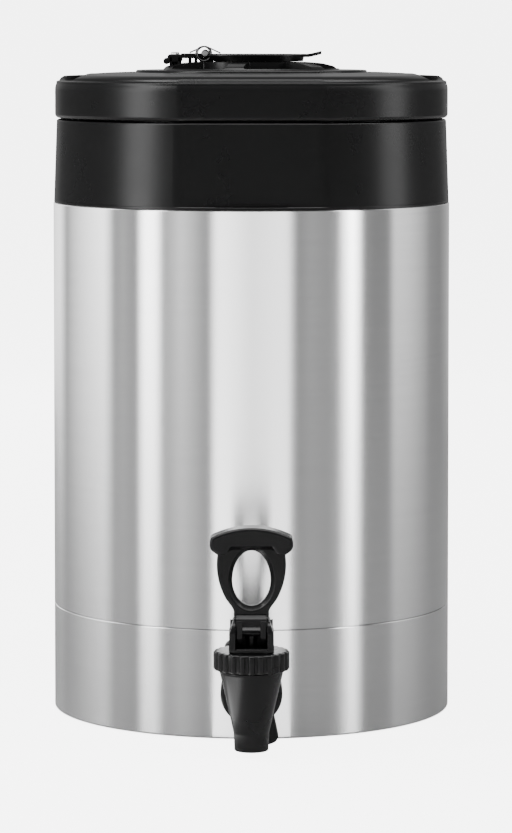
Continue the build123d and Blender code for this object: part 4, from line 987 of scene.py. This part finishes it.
piece(
    "underside_screws", "lid", "lid_screws",
    screws(
        circle_places(lid_screw_circle, 6, 0), low=lid_seat + play, high=356.0, radius=1.5,
        head_low=lid_seat + play, head_high=347.0, head_radius=2.8,
    ),
    bright_steel,
)
piece(
    "brew_tube", "lid", "inlet_sleeve",
    [lathe([
        (plug_bottom - sleeve_flange, inlet_radius, 0.5),
        (plug_bottom - sleeve_flange, sleeve_radius + 6, 0.6),
        (plug_bottom, sleeve_radius + 6),
        (plug_bottom, sleeve_radius),
        (cone_top, sleeve_radius),
        (cone_top, inlet_radius, seam_round),
    ], columns=96)],
    lid_black,
)


# Hinge of the flap

def hinge_shells():
    """The bracket: eyes, arms and posts on both sides, a skirt under the rear eye, a nosed block, a rest."""
    arm = oblong(hinge_x - 14, hinge_x - 1.3, arm_bottom, arm_top, (0, 0.3, 0.3, 0), 4)
    block = oblong(hinge_x - 22, hinge_x - 13.5, block_bottom, block_top, 1.6)
    rest = oblong(hinge_x - 12, hinge_x - 6, arm_bottom, arm_top, 0.3, 4)
    skirt = oblong(hinge_x - 3.5, hinge_x + 4.8, cone_top - 0.5, arm_bottom + 0.5, (0, 0, 0.6, 0), 3)
    nose = (hinge_x - 22.5, block_bottom + 0.8)
    shells = []
    for side in (-1, 1):
        low, high = sorted((side * cheek_inner, side * cheek_outer))
        shells += [
            ring(low, high, knuckle_bore, knuckle_radius, 0.4, 0.4, axis="y", centre=hinge, columns=40),
            slab(arm, softened(low, high, 0.3, 0.3), facing_front),
        ]
        for offset in (5.5, 9.0, 15.0, 20.0):
            middle = hinge_x - offset
            lean = (cone_radius - np.hypot(middle, cheek_inner)) / (cone_radius - cone_top_radius)
            ground = disc_top + np.clip(lean, 0, 1) * (cone_top - disc_top) - 0.5
            post = oblong(middle - 0.8, middle + 0.8, ground, arm_bottom + 0.6, count=2)
            shells.append(slab(post, softened(low, high, 0.2, 0.2), facing_front))
    shells += [
        slab(skirt, softened(cheek_inner, cheek_outer, 0.2, 0.2), facing_front),
        slab(block, softened(-cheek_outer, cheek_outer, 0.6, 0.6), facing_front),
        ring(-cheek_outer, cheek_outer, 0, 1.9, 0.6, 0.6, axis="y", centre=nose, columns=40),
        slab(rest, softened(-cheek_outer - 3, -cheek_outer + 0.2, 0.3, 0.1), facing_front),
    ]
    for side in (-1, 1):
        foot = (bracket_screw_x, side * bracket_screw_y)
        shells.append(ring(disc_top - 0.3, block_bottom + 0.4, 0, 2.6, centre=foot, columns=32))
    return shells


piece("flap_bracket", "lid", "hinge_bracket", hinge_shells(), lid_black, even=True)
piece(
    "flap_bracket_screws", "lid", "bracket_screws",
    screws(
        [(bracket_screw_x, bracket_screw_y), (bracket_screw_x, -bracket_screw_y)],
        low=371.9, high=block_top, radius=1.25,
        head_low=block_top, head_high=block_top + 1.2, head_radius=2.4,
    ),
    bright_steel,
)
piece(
    "flap_pin", "lid", "hinge_pin",
    [lathe([
        (pin_front, 0),
        (pin_front, pin_head_radius, 0.5),
        (pin_front + pin_head, pin_head_radius, 0.1),
        (pin_front + pin_head, pin_radius),
        (pin_back - pin_head, pin_radius),
        (pin_back - pin_head, pin_head_radius, 0.1),
        (pin_back, pin_head_radius, 0.5),
        (pin_back, 0),
    ], axis="y", centre=hinge, columns=36)],
    spring_steel,
)


def spring_paths():
    """The torsion spring's two runs: the fixed leg with the coil, and the leg that lies on the flap.

    Each leg's end lies level with what it presses on; it meets the coil where the line from that
    end touches the coil's circle. Between both the wire turns clockwise and moves forward evenly,
    and its middle turns stand a little further from the flap, by half a sine wave.
    """
    lift = (spring_wire + fit) / 2
    arm = np.array([-spring_leg, arm_top + lift - hinge_z])
    lid = np.array([spring_leg, flap_top + lift - hinge_z])
    arm_turn = np.arctan2(arm[1], arm[0]) - np.arccos(spring_radius / np.hypot(*arm))
    lid_turn = np.arctan2(lid[1], lid[0]) + np.arccos(spring_radius / np.hypot(*lid))
    total = arm_turn - lid_turn + 6 * np.pi
    gone = np.linspace(0, total, 160)
    around = arm_turn - gone
    forward = spring_pitch * gone / (2 * np.pi)
    coil = np.stack([
        hinge_x + spring_radius * np.cos(around) - spring_sway * np.sin(np.pi * gone / total),
        coil_start - forward,
        hinge_z + spring_radius * np.sin(around),
    ], axis=1)
    arm_end = np.array([hinge_x + arm[0], coil_start + 0.2, hinge_z + arm[1]])
    lid_end = np.array([hinge_x + lid[0], coil[-1, 1] - 0.2, hinge_z + lid[1]])
    share = np.linspace(0, 1, 12)[:, None]
    fixed = np.concatenate([arm_end + (coil[0] - arm_end) * share[:-1], coil])
    moving = np.concatenate([coil[-12:-1], coil[-1] + (lid_end - coil[-1]) * share])
    return fixed, moving


fixed_run, moving_run = [wire(path, spring_wire / 2, (0.0, 1.0, 0.0)) for path in spring_paths()]
piece("flap_spring_coil", "lid", "flap_spring", [fixed_run], spring_steel)
piece("flap_spring_leg", "flap", "flap_spring", [moving_run], spring_steel)


# Flap

def flap_plate():
    """The flap's disc in rows, from its top down its side and into its hollow underside.

    In each row an arc has the flap's radius less the row's inset. It ends where it meets the notch at
    the hinge, whose straight edges close the row. The side tapers downwards, steeply in front and more
    towards the hinge, where it swings past the cone.
    """
    curve = np.linspace(0, np.pi / 2, 6)
    top = np.stack([1 - np.sin(curve), np.cos(curve) - 1], axis=1) * flap_round + (0, flap_top)
    inset, height = np.concatenate([top, [
        (0, flap_top - 1.05), (2.1, flap_bottom + 0.5), (2.7, flap_bottom), (4.8, flap_bottom),
        (5.0, flap_bottom + 0.2), (5.0, flap_under),
    ]]).T[:, :, None]
    radius = flap_radius - inset
    edge = flap_edge + 0.08 * inset
    reach = np.sqrt(radius**2 - edge**2)
    back = np.minimum(notch_back + 0.08 * inset, reach)
    front = np.maximum(notch_front - 0.08 * inset, -reach)
    first = np.pi - np.arcsin(back / radius)
    last = np.arcsin(-front / radius) - np.pi
    turn = first + (last - first) * np.linspace(0, 1, 132)
    pull = np.ones_like(turn)
    pull[7:9] = 0.3 + 0.7 * np.clip((-np.cos(turn[7:9]) - 0.2) / 0.4, 0, 1)
    along = (flap_radius - inset * pull) * np.cos(turn)
    across = (flap_radius - inset * pull) * np.sin(turn)
    share = np.linspace(0, 1, 8)[1:]
    still = np.ones_like(share)
    along = np.concatenate([
        along,
        along[:, -1:] + (edge - along[:, -1:]) * share,
        edge * still,
        edge + (along[:, :1] - edge) * share[:-1],
    ], axis=1)
    across = np.concatenate([across, front * still, front + (back - front) * share, back * still[1:]], axis=1)
    return capped(points_at(along, across, height))


def flap_tab():
    """The finger tab: an oblong section carried along x, narrowing to its round tip and curling up."""
    tip_start = tab_tip - tab_round
    tip = tip_start + tab_round * np.sin(np.linspace(0.1, np.pi / 2, 14))
    along = np.concatenate([np.linspace(tab_root, tip_start, 12), tip])[:, None]
    past = np.maximum(along - tip_start, 0)
    half = tab_half_width - tab_round + np.sqrt(np.maximum(tab_round**2 - past**2, 0))
    curl = tab_rise * np.clip((along - tab_curl_start) / (tab_tip - tab_curl_start), 0, 1) ** 1.25
    thick = tab_half_thickness
    section = oblong(-1, 1, -thick, thick, 0.02, 3)
    edge = 1 - 0.06 * (np.abs(section[:, 1]) > thick - 0.01)
    return capped(points_at(along, half * section[:, 0] * edge, flap_top - thick + curl + section[:, 1]))


web = oblong(hinge_x + knuckle_bore + 0.1, flap_edge + 2, flap_top - web_depth, flap_top, (0, 0, 0.3, 0.3), 4)
web_half_width = knuckle_half_width - 0.1
piece(
    "flap_cover", "flap", "flap",
    [
        flap_plate(),
        flap_tab(),
        ring(
            -knuckle_half_width, knuckle_half_width, knuckle_bore, knuckle_radius, 0.4, 0.4,
            axis="y", centre=hinge, columns=40,
        ),
        slab(web, softened(-web_half_width, web_half_width, 0.3, 0.3), facing_front),
    ],
    lid_black, even=True,
)
piece(
    "flap_bead", "flap", "flap_seal",
    [lathe([
        (flap_bottom - bead_drop, 0),
        (flap_bottom - bead_drop, bead_inner, 0.8),
        (flap_bottom, bead_inner, 0.3),
        (flap_bottom, bead_outer, 0.3),
        (flap_under, bead_outer),
        (flap_under, 0),
    ], columns=96)],
    silicone,
)

# Faucet

shank_axis = {"axis": "y", "centre": (0, shank_height)}
faucet_axis = (0, faucet_y)
piece(
    "shank_tube", "server", "shank",
    [lathe([
        (shank_front, shank_bore),
        (shank_front, shank_radius, 0.2),
        (flange_front, shank_radius),
        (flange_front, flange_radius, 0.5),
        (flange_back, flange_radius, 0.5),
        (flange_back, shank_radius),
        (shank_back, shank_radius, 0.2),
        (shank_back, hose_radius),
        (hose_end, hose_radius, 0.2),
        (hose_end, shank_bore),
    ], columns=72, **shank_axis)],
    plug_grey,
)


def washer_ring():
    """The washer against the wall: a flat ring whose back row lies on the wall, at y = -sqrt(R^2 - x^2)."""
    turn = full_turn(96)
    inner, outer = shank_radius + fit, 15.4
    radius = np.array([inner, outer - 0.3, outer, outer, inner])[:, None]
    across = radius * np.cos(turn)
    front = np.array([flange_back, flange_back, flange_back + 0.3])[:, None] + np.zeros_like(turn)
    back = -np.sqrt(shell_radius**2 - across[3:] ** 2)
    return grid(points_at(across, np.concatenate([front, back]), shank_height + radius * np.sin(turn)))


piece("wall_washer", "server", "shank_washer", [washer_ring()], foot_rubber)

wing_outline = rounded([
    (-wing_root_half_width, wing_root),
    (wing_root_half_width, wing_root),
    (wing_tip_half_width, wing_tip, wing_round),
    (-wing_tip_half_width, wing_tip, wing_round),
], count=9)
wing_layers = softened(wing_middle - wing_half_thickness, wing_middle + wing_half_thickness, 1.6, 1.6)


def wing(turn):
    """One wing of the nut: its outline turned about the shank's axis, with soft edges."""
    def place(across, up, depth):
        """Turns the outline by the wing's angle."""
        return (
            across * np.cos(turn) - up * np.sin(turn),
            depth,
            shank_height + across * np.sin(turn) + up * np.cos(turn),
        )
    return slab(wing_outline, wing_layers, place)


piece(
    "clamping_nut", "server", "wing_nut",
    [
        lathe([
            (wing_front, tail_radius + fit),
            (wing_front, hub_radius, 1.2),
            (wing_back, hub_radius, 1.2),
            (wing_back, shank_radius + fit),
            (wing_front + hub_floor, shank_radius + fit),
            (wing_front + hub_floor, tail_radius + fit),
        ], columns=96, **shank_axis),
        wing(wing_angle),
        wing(wing_angle + np.pi),
    ],
    faucet_black, even=True,
)
piece(
    "faucet_barrel", "server", "faucet_body",
    [
        lathe([
            (spout_bottom, spout_bore, 0.5),
            (spout_bottom, 9.35, 0.7),
            (13.5, 9.75, 3.0),
            (28.5, 13.0, 3.0),
            (barrel_top, barrel_radius, 0.4),
            (barrel_top + barrel_lip, barrel_radius, 0.7),
            (barrel_top + barrel_lip, thread_radius),
            (thread_top, thread_radius, 0.2),
            (thread_top, barrel_bore),
            (42.5, barrel_bore),
            (valve_seat, 9.4),
            (valve_seat, valve_hole),
            (valve_seat - 2, valve_hole),
            (valve_seat - 4, spout_bore),
        ], centre=faucet_axis, columns=128, count=8),
        lathe([
            (faucet_y + 9, tail_bore),
            (faucet_y + 9, tail_radius),
            (groove_front, tail_radius),
            (groove_front, groove_radius),
            (groove_back, groove_radius),
            (groove_back, tail_radius),
            (tail_end, tail_radius, 0.2),
            (tail_end, tail_bore),
        ], columns=72, **shank_axis),
    ],
    faucet_black, sharp=45,
)


def nut_ring():
    """The ring nut: a ribbed plan, where the radius is the greater of the ring's and each rib's circle.

    A rib's circle lies at c cos d + sqrt(r^2 - c^2 sin^2 d), d being the angle from the rib's middle.
    """
    turn = full_turn(20 * nut_rib_count)
    pitch = 2 * np.pi / nut_rib_count
    off = (turn + pitch / 2) % pitch - pitch / 2
    centre = nut_radius - nut_rib_radius
    aside = centre * np.sin(off)
    reach = np.sqrt(np.maximum(nut_rib_radius**2 - aside**2, 0))
    rib = np.where(np.abs(aside) < nut_rib_radius, centre * np.cos(off) + reach, 0)
    edge = softened(nut_bottom, nut_top, 1.0, 1.3, 6)
    inner = np.array([
        (bonnet_radius + fit, nut_top),
        (bonnet_radius + fit, nut_top - nut_roof),
        (thread_radius + fit, nut_top - nut_roof),
        (thread_radius + fit, nut_bottom),
    ])
    outside = np.maximum(rib, nut_radius - nut_rib_rise) - edge[:, :1]
    radius = np.concatenate([outside, np.repeat(inner[:, :1], len(turn), axis=1)])
    height = np.concatenate([edge, inner])[:, 1:]
    return grid(points_at(radius * np.cos(turn), faucet_y + radius * np.sin(turn), height))


piece("ribbed_nut", "server", "bonnet_nut", [nut_ring()], faucet_black, sharp=40)

bonnet_root = bonnet_floor - 0.5


def ear(side):
    """One ear of the bonnet: a plate with a round top whose outer face leans in above its shoulder."""
    crown = ear_radius - 0.01
    front, back = pivot_y - ear_radius, pivot_y + ear_radius
    outline = oblong(front, back, bonnet_root, pivot_z + ear_radius, (0, 0, crown, crown), 17)

    def place(across, up, depth):
        """Leans the outer face in by its share of the height above the shoulder."""
        gone = np.clip((up - ear_shoulder) / (pivot_z + ear_radius - ear_shoulder), 0, 1)
        share = (depth - ear_inner) / (bonnet_radius - ear_inner)
        return side * (depth - share * gone * ear_top_inset), across, up
    return slab(outline, softened(ear_inner, bonnet_radius, 0.4, 0.7), place)


def rear_guard():
    """The bonnet's back: a plate across it with leaning sides, and a low return from there to each ear."""
    back = faucet_y + 10.4
    front = back - 3.2
    top = pivot_z + ear_radius - 1
    plate = rounded([
        (-bonnet_radius, bonnet_root),
        (bonnet_radius, bonnet_root),
        (bonnet_radius, ear_shoulder, 4.0),
        (bonnet_radius - ear_top_inset, top, 2.0),
        (ear_top_inset - bonnet_radius, top, 2.0),
        (-bonnet_radius, ear_shoulder, 4.0),
    ])
    side = rounded([
        (pivot_y + 4, bonnet_root),
        (back - 1, bonnet_root),
        (back - 1, pivot_z + 5, 1.5),
        (front, pivot_z + 5, 1.5),
        (front - 1, pivot_z - 2, 3.0),
        (pivot_y + 4, pivot_z - 2),
    ])
    return [
        slab(plate, softened(front, back, 0.5, 0.9), facing_front),
        slab(side, softened(ear_inner, bonnet_radius - 0.5, 0.3, 0.7), facing_side),
        slab(side, softened(-ear_inner, 0.5 - bonnet_radius, 0.3, 0.7), facing_side),
    ]


bonnet_plan = oblong(-bonnet_radius, bonnet_radius, pivot_y - ear_radius, faucet_y + 11, 5.0)
piece(
    "stem_guide", "server", "bonnet",
    [
        lathe([
            (bonnet_bottom, spring_pocket),
            (bonnet_bottom, barrel_bore - fit),
            (bonnet_flange, barrel_bore - fit),
            (bonnet_flange, thread_radius - fit),
            (spring_seat, thread_radius - fit),
            (spring_seat, bonnet_radius),
            (bonnet_floor - 0.3, bonnet_radius),
            (bonnet_floor - 0.3, stem_hole),
            (spring_seat, stem_hole),
            (spring_seat, spring_pocket),
        ], centre=faucet_axis, columns=96),
        slab(bonnet_plan, softened(bonnet_base, bonnet_floor, 0.3, 0.6), lying),
        ear(1),
        ear(-1),
        *rear_guard(),
    ],
    faucet_black, even=True,
)


def pin(end, radius, place):
    """A cross pin along x with softened ends."""
    return ring(-end, end, 0, radius, 0.3, 0.3, axis="x", centre=place, columns=40)


piece("lever_pin", "server", "handle_pivot_pin", [pin(11.0, 2.0, pivot)], faucet_black)
piece("lifting_pin", "stem", "stem_pin", [pin(8.2, 1.6, (faucet_y, pivot_z))], bright_steel)
piece(
    "stem_rod", "stem", "valve_stem",
    [lathe([
        (stem_bottom, 0),
        (stem_bottom, stem_foot_radius),
        (stem_foot, stem_foot_radius),
        (stem_foot, stem_radius),
        (stem_head, stem_radius),
        (stem_head, stem_head_radius, 0.2),
        (stem_top, stem_head_radius, 0.4),
        (stem_top, 0),
    ], centre=faucet_axis, columns=48)],
    faucet_black,
)


def closing_spring():
    """The closing spring's line: a helix from the valve's cup up to the bonnet."""
    turn = np.linspace(0, 2 * closing_turns * np.pi, 260)
    height = np.linspace(closing_low, closing_high, 260)
    return points_at(closing_radius * np.cos(turn), faucet_y + closing_radius * np.sin(turn), height)


coil = piece(
    "closing_coil", "server", "stem_spring", [wire(closing_spring(), 0.5, (0.0, 0.0, 1.0))], bright_steel,
)
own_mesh(coil)


# Handle: its outlines are counted from the pivot

def loop_outline():
    """Half the loop's outline as (x, z) points: a Hermite curve through the neck, flare, side and top."""
    knots = np.array([12.0, 18.9, 35.3, 46.5])
    widths = np.array([9.6, 14.1, 18.85, 18.0])
    slopes = np.array([0.3, 0.55, 0.07, -0.15])
    neck_low, head_high = 8.4, 51.7
    up = np.linspace(knots[0], knots[-1], 120)
    index = np.clip(np.searchsorted(knots, up, side="right") - 1, 0, 2)
    span = knots[index + 1] - knots[index]
    t = (up - knots[index]) / span
    start = (1 + 2 * t) * (1 - t) ** 2 * widths[index] + t * (1 - t) ** 2 * span * slopes[index]
    end = t**2 * (3 - 2 * t) * widths[index + 1] + t**2 * (t - 1) * span * slopes[index + 1]
    side = np.stack([start + end, up], axis=1)
    foot = np.stack([np.linspace(0, 9.0, 30), np.full(30, neck_low)], axis=1)
    corner = np.array([(9.45, neck_low + 0.15), (9.6, neck_low + 0.6)])
    head_up = np.append(np.linspace(knots[-1], head_high, 8), np.full(52, head_high))
    head = np.stack([np.linspace(widths[-1], 0.0, 60), head_up], axis=1)
    return np.concatenate([foot, corner, side, head]) + (0, pivot_z)


def loop_surface():
    """The finger loop: at each angle round the hole's middle, a closed section from the hole to the outline.

    The hole is an egg of two half ellipses, 1 / sqrt((cos t / a)^2 + (sin t / b)^2), with b greater
    above the middle. The outline's radius is read off by angle. The front of the hole is dished.
    """
    turn = np.linspace(-np.pi, np.pi, 360, endpoint=False)
    tall = np.where(np.sin(turn) > 0, hole_above, hole_below)
    egg = 1 / np.sqrt((np.cos(turn) / hole_half_width) ** 2 + (np.sin(turn) / tall) ** 2)
    half = loop_outline() - (0, hole_middle)
    whole = np.concatenate([half, half[::-1] * (-1, 1)])
    angle = np.arctan2(whole[:, 1], whole[:, 0])
    order = np.argsort(angle)
    reach = np.interp(turn, angle[order], np.hypot(*whole.T)[order], period=2 * np.pi)
    wall = softened(plate_front, plate_back, 1.3, 0.9, 6)
    dish = np.array([
        (0.9, plate_back),
        (0.26, plate_back - 0.26),
        (0.0, plate_back - 0.9),
        (0.0, plate_front + hole_flare + 0.3),
        (0.15, plate_front + hole_flare - 0.15),
        (hole_flare - 0.35, plate_front + 0.3),
        (hole_flare, plate_front + 0.06),
        (hole_flare + 0.5, plate_front),
    ])
    radius = np.concatenate([reach - wall[:, :1], egg + dish[:, :1]])
    depth = np.concatenate([wall, dish])[:, 1:]
    return grid(points_at(radius * np.cos(turn), depth, hole_middle + radius * np.sin(turn)))


def paddle_outline():
    """The paddle's outline: an arc over the top, drooping ends, and a low arch between them below."""
    rise, half, peak = 5.2, 22.0, 58.4
    radius = (half**2 + rise**2) / (2 * rise)
    across = np.linspace(half, -half, 25)
    crest = peak - radius + np.sqrt(radius**2 - across**2)
    top = np.stack([across, crest, np.zeros(25)], axis=1)
    top[[0, -1], 2] = 2.6
    left = np.array([(-23.3, 47.2, 4.8), (-18.6, 43.6, 2.6), (-14.2, 43.6, 2.2), (-11.4, 47.9, 1.6)])
    right = left[::-1] * (-1, 1, 1)
    return rounded(np.concatenate([top, left, right]), count=8) + (0, pivot_z)


def paddle():
    """The paddle: its outline with softened edges, and a slope under the arch that meets the loop's front."""
    outline = paddle_outline()
    edges = softened(paddle_front, plate_back, 1.7, 0.8, 7)
    slope = [(0, plate_front - 3), (-2.2, plate_front), (-2.2, plate_back - 1)]
    layers = np.concatenate([edges[:7], slope, edges[7:]])
    pull = np.ones((len(layers), len(outline)))
    pull[7:10] = (np.abs(outline[:, 0]) < 13.4) & (outline[:, 1] < pivot_z + 50)
    return slab(outline, layers, facing_front, pull)


def fork_shells():
    """The fork below the loop: two legs that straddle the stem, a beam on top of them and a web between.

    The beam's front edge is a slope that makes a ledge under the loop. The web is set back, with a
    lip that slopes forward at its foot.
    """
    leg = rounded([
        (-6.5, 7.2, 0.6), (-6.5, -6.4, 6.3), (6.5, -6.4, 1.6), (11.57, -4.25, 1.6), (11.57, 4.25, 1.6),
        (5.0, 4.25, 1.6), (5.0, 7.2),
    ], count=9) + pivot
    beam = rounded([
        (-6.0, 6.8, 0.3), (5.0, 6.8), (5.0, 10.2), (-3.9, 10.2, 0.4), (-6.0, 8.2, 0.4),
    ], count=5) + pivot
    middle = rounded([
        (-6.3, 1.5, 0.3), (-3.1, 1.5, 0.5), (-3.1, 6.0, 1.0), (5.0, 6.0), (5.0, 7.5), (-4.7, 7.5),
        (-4.7, 4.0, 0.4), (-6.3, 2.2, 0.3),
    ], count=5) + pivot
    return [
        slab(leg, softened(fork_gap, fork_half_width, 0.4, 0.8), facing_side),
        slab(leg, softened(-fork_gap, -fork_half_width, 0.4, 0.8), facing_side),
        slab(beam, softened(-fork_half_width, fork_half_width, 0.6, 0.6), facing_side),
        slab(middle, [(0, -fork_gap - 0.3), (0, fork_gap + 0.3)], facing_side),
    ]


piece(
    "pull_handle", "handle", "handle", [loop_surface(), paddle(), *fork_shells()],
    faucet_black, sharp=38, even=True,
)

# Pieces that keep the shape of their node

kept = {
    "insulation_jacket": foam,
    "lid_insulation": foam,
    "base_brackets": zinc_steel,
    "outlet_elbow": silicone,
    "hose_clamps": bright_steel,
    "saddle_washer": plug_grey,
    "shank_backnut": plug_grey,
    "c_ring": bright_steel,
    "faucet_seal": silicone,
    "bonnet_seal": silicone,
    "seat_cup": silicone,
}
for name, finish in kept.items():
    node_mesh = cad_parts[name].data
    node_mesh.materials.clear()
    node_mesh.materials.append(finish)

# Floor, light and camera, in metres

floor_reach = 400
floor_corners = [(-1, -1, 0), (1, -1, 0), (1, 1, 0), (-1, 1, 0)]
floor_mesh = bpy.data.meshes.new("studio_floor")
floor_mesh.from_pydata((np.array(floor_corners) * floor_reach).tolist(), [], [(0, 1, 2, 3)])
studio_floor = placed("studio_floor", floor_mesh)
floor_paint, floor_tree, floor_shader = blank("floor_paint")
floor_shader.inputs["Base Color"].default_value = (0.42, 0.42, 0.42, 1)
floor_shader.inputs["Roughness"].default_value = 0.9
floor_shader.inputs["Specular IOR Level"].default_value = 0.0
seen_floor = add(floor_tree, "ShaderNodeBsdfDiffuse", {"Color": (0.85, 0.85, 0.85, 1)})
floor_glow = add(floor_tree, "ShaderNodeEmission", {"Color": (1, 1, 1, 1), "Strength": 5.4})
pale_floor = add(floor_tree, "ShaderNodeAddShader", {0: seen_floor.outputs[0], 1: floor_glow.outputs[0]})
floor_seen = add(floor_tree, "ShaderNodeLightPath").outputs["Is Camera Ray"]
floor_mix = add(
    floor_tree, "ShaderNodeMixShader", {0: floor_seen, 1: floor_shader.outputs[0], 2: pale_floor.outputs[0]},
)
floor_tree.links.new(floor_mix.outputs[0], floor_tree.nodes["Material Output"].inputs["Surface"])
floor_mesh.materials.append(floor_paint)

# Lights are linked: the tent's bands light steel and floor, the lamps below light the plastics

def receivers(name, objects):
    """A collection of the objects that a light shines on."""
    group = bpy.data.collections.new(name)
    for thing in objects:
        group.objects.link(thing)
    return group


steel_finishes = {brushed_steel, vessel_steel, bright_steel, spring_steel, zinc_steel}
shown_pieces = [thing for thing in bpy.data.objects if thing.type == "MESH" and thing is not studio_floor]
steel_pieces = [thing for thing in shown_pieces if steel_finishes & set(thing.data.materials)]
plastic_pieces = [thing for thing in shown_pieces if thing not in steel_pieces]
tent_group = receivers("lit_by_tent", steel_pieces + [studio_floor])
card_group = receivers("lit_by_front_card", steel_pieces)
lamp_group = receivers("lit_by_lamps", plastic_pieces)

# The tent round the part, as (degrees from the front towards +X, brightness). A scratch program
# fitted these stops to the brightness of the photograph's steel, and they were then rounded by hand
tent = [
    (-180, 0.8), (-144, 3), (-132, 0.5), (-120, 2), (-92, 5.5), (-84, 0.2), (-77, 0.7), (-67, 0.1),
    (-62, 13), (-56, 12), (-51, 0.1), (-40, 2.2), (-24, 0.1), (-19, 5), (0, 2.8), (20, 3.7),
    (25, 0.1), (33, 0.5), (50, 0.1), (55, 8.5), (58, 20), (60, 14), (65, 0.1), (84, 0.1),
    (89, 2), (100, 1.7), (123, 0.3), (138, 0.2), (180, 0.8),
]
tent_peak = 20.0
tent_cloth = bpy.data.materials.new("tent_cloth")
tent_cloth.use_nodes = True
cloth = tent_cloth.node_tree
cloth.nodes.clear()
ways = add(cloth, "ShaderNodeSeparateXYZ", {"Vector": object_place(cloth)}).outputs
forward = times(cloth, ways["Y"], -1.0)
bearing = add(cloth, "ShaderNodeMath", {0: ways["X"], 1: forward}, operation="ARCTAN2").outputs[0]
bands = add(cloth, "ShaderNodeValToRGB", {"Fac": between(cloth, bearing, -np.pi, np.pi, 0.0, 1.0)})
elements = bands.color_ramp.elements
elements[1].position = 1.0
for degrees, _ in tent[1:-1]:
    elements.new((degrees + 180) / 360)
for element, (degrees, brightness) in zip(elements, tent):
    element.color = (brightness / tent_peak,) * 3 + (1,)
cloth_glow = add(cloth, "ShaderNodeEmission", {"Color": bands.outputs["Color"], "Strength": tent_peak})
cloth_thin = add(cloth, "ShaderNodeBsdfTransparent")
cloth_both = add(cloth, "ShaderNodeAddShader", {0: cloth_glow.outputs[0], 1: cloth_thin.outputs[0]})
add(cloth, "ShaderNodeOutputMaterial", {"Surface": cloth_both.outputs[0]})


def glowing(name, points, wrap_columns, receiver_group):
    """A sheet of tent cloth over rows of points in metres, seen only by what it lights."""
    vertices, faces = grid(points, wrap_rows=False, wrap_columns=wrap_columns)
    mesh = bpy.data.meshes.new(name)
    mesh.from_pydata(vertices.tolist(), [], faces[0].tolist())
    mesh.materials.append(tent_cloth)
    shown = placed(name, mesh)
    shown.visible_camera = False
    shown.visible_shadow = False
    shown.light_linking.receiver_collection = receiver_group


tent_radius = 2.0
tent_heights = np.array([[-0.02], [1.9]])
card_across = np.array([[-0.0235, 0.0235], [-0.75, 0.75]])
card_depth = np.array([[-0.118], [-1.9]])
card_height = 0.0006
glowing("studio_tent", at_front(tent_radius, tent_heights, full_turn(96)), True, tent_group)
glowing("front_card", points_at(card_across, card_depth, card_height), False, card_group)

world = bpy.data.worlds.new("studio_room")
bpy.context.scene.world = world
world.use_nodes = True
sky = world.node_tree
sky.nodes.clear()
room = add(sky, "ShaderNodeBackground", {"Color": (1, 1, 1, 1), "Strength": 0.22})
backdrop = add(sky, "ShaderNodeBackground", {"Color": (1, 1, 1, 1), "Strength": 5.6})
seen = add(sky, "ShaderNodeLightPath").outputs["Is Camera Ray"]
shown_sky = add(sky, "ShaderNodeMixShader", {0: seen, 1: room.outputs[0], 2: backdrop.outputs[0]})
add(sky, "ShaderNodeOutputWorld", {"Surface": shown_sky.outputs[0]})


def panel(name, place, target, width, height, power):
    """A soft area light at a place, with its -Z axis turned towards a target, both in metres."""
    data = bpy.data.lights.new(name, "AREA")
    data.shape = "RECTANGLE"
    data.size, data.size_y = width, height
    data.energy = power
    light = placed(name, data)
    light.location = place
    light.rotation_euler = (Vector(target) - Vector(place)).to_track_quat("-Z", "Y").to_euler()
    light.light_linking.receiver_collection = lamp_group
    light.visible_camera = False


panel("left_strip", (-1.83, -0.81, 0.95), (0, 0, 0.36), width=0.7, height=2.0, power=20)
panel("right_strip", (2.0, -0.05, 0.95), (0, 0, 0.36), width=0.7, height=2.0, power=10)
panel("overhead", (0.0, -0.6, 2.4), (0, -0.6, 0), width=5.0, height=1.2, power=90)
panel("back_glow", (0.0, 2.0, 0.9), (0, 0, 0.9), width=2.4, height=1.6, power=3)
panel("table_card", (-0.075, -0.21, 0.001), (-0.075, -0.21, 1.0), width=0.05, height=0.18, power=0.08)

camera_data = bpy.data.cameras.new("photo_camera")
camera_data.lens = 161.4
camera_data.sensor_width = 36.0
camera_data.shift_x = 0.0055
camera_data.shift_y = -0.2
camera_data.clip_end = 1000
camera = placed("photo_camera", camera_data)
camera.location = (0.0, -2.19, 0.398)
camera.rotation_euler = (np.radians(90 - 3.384), 0.0, 0.0)
bpy.context.scene.camera = camera
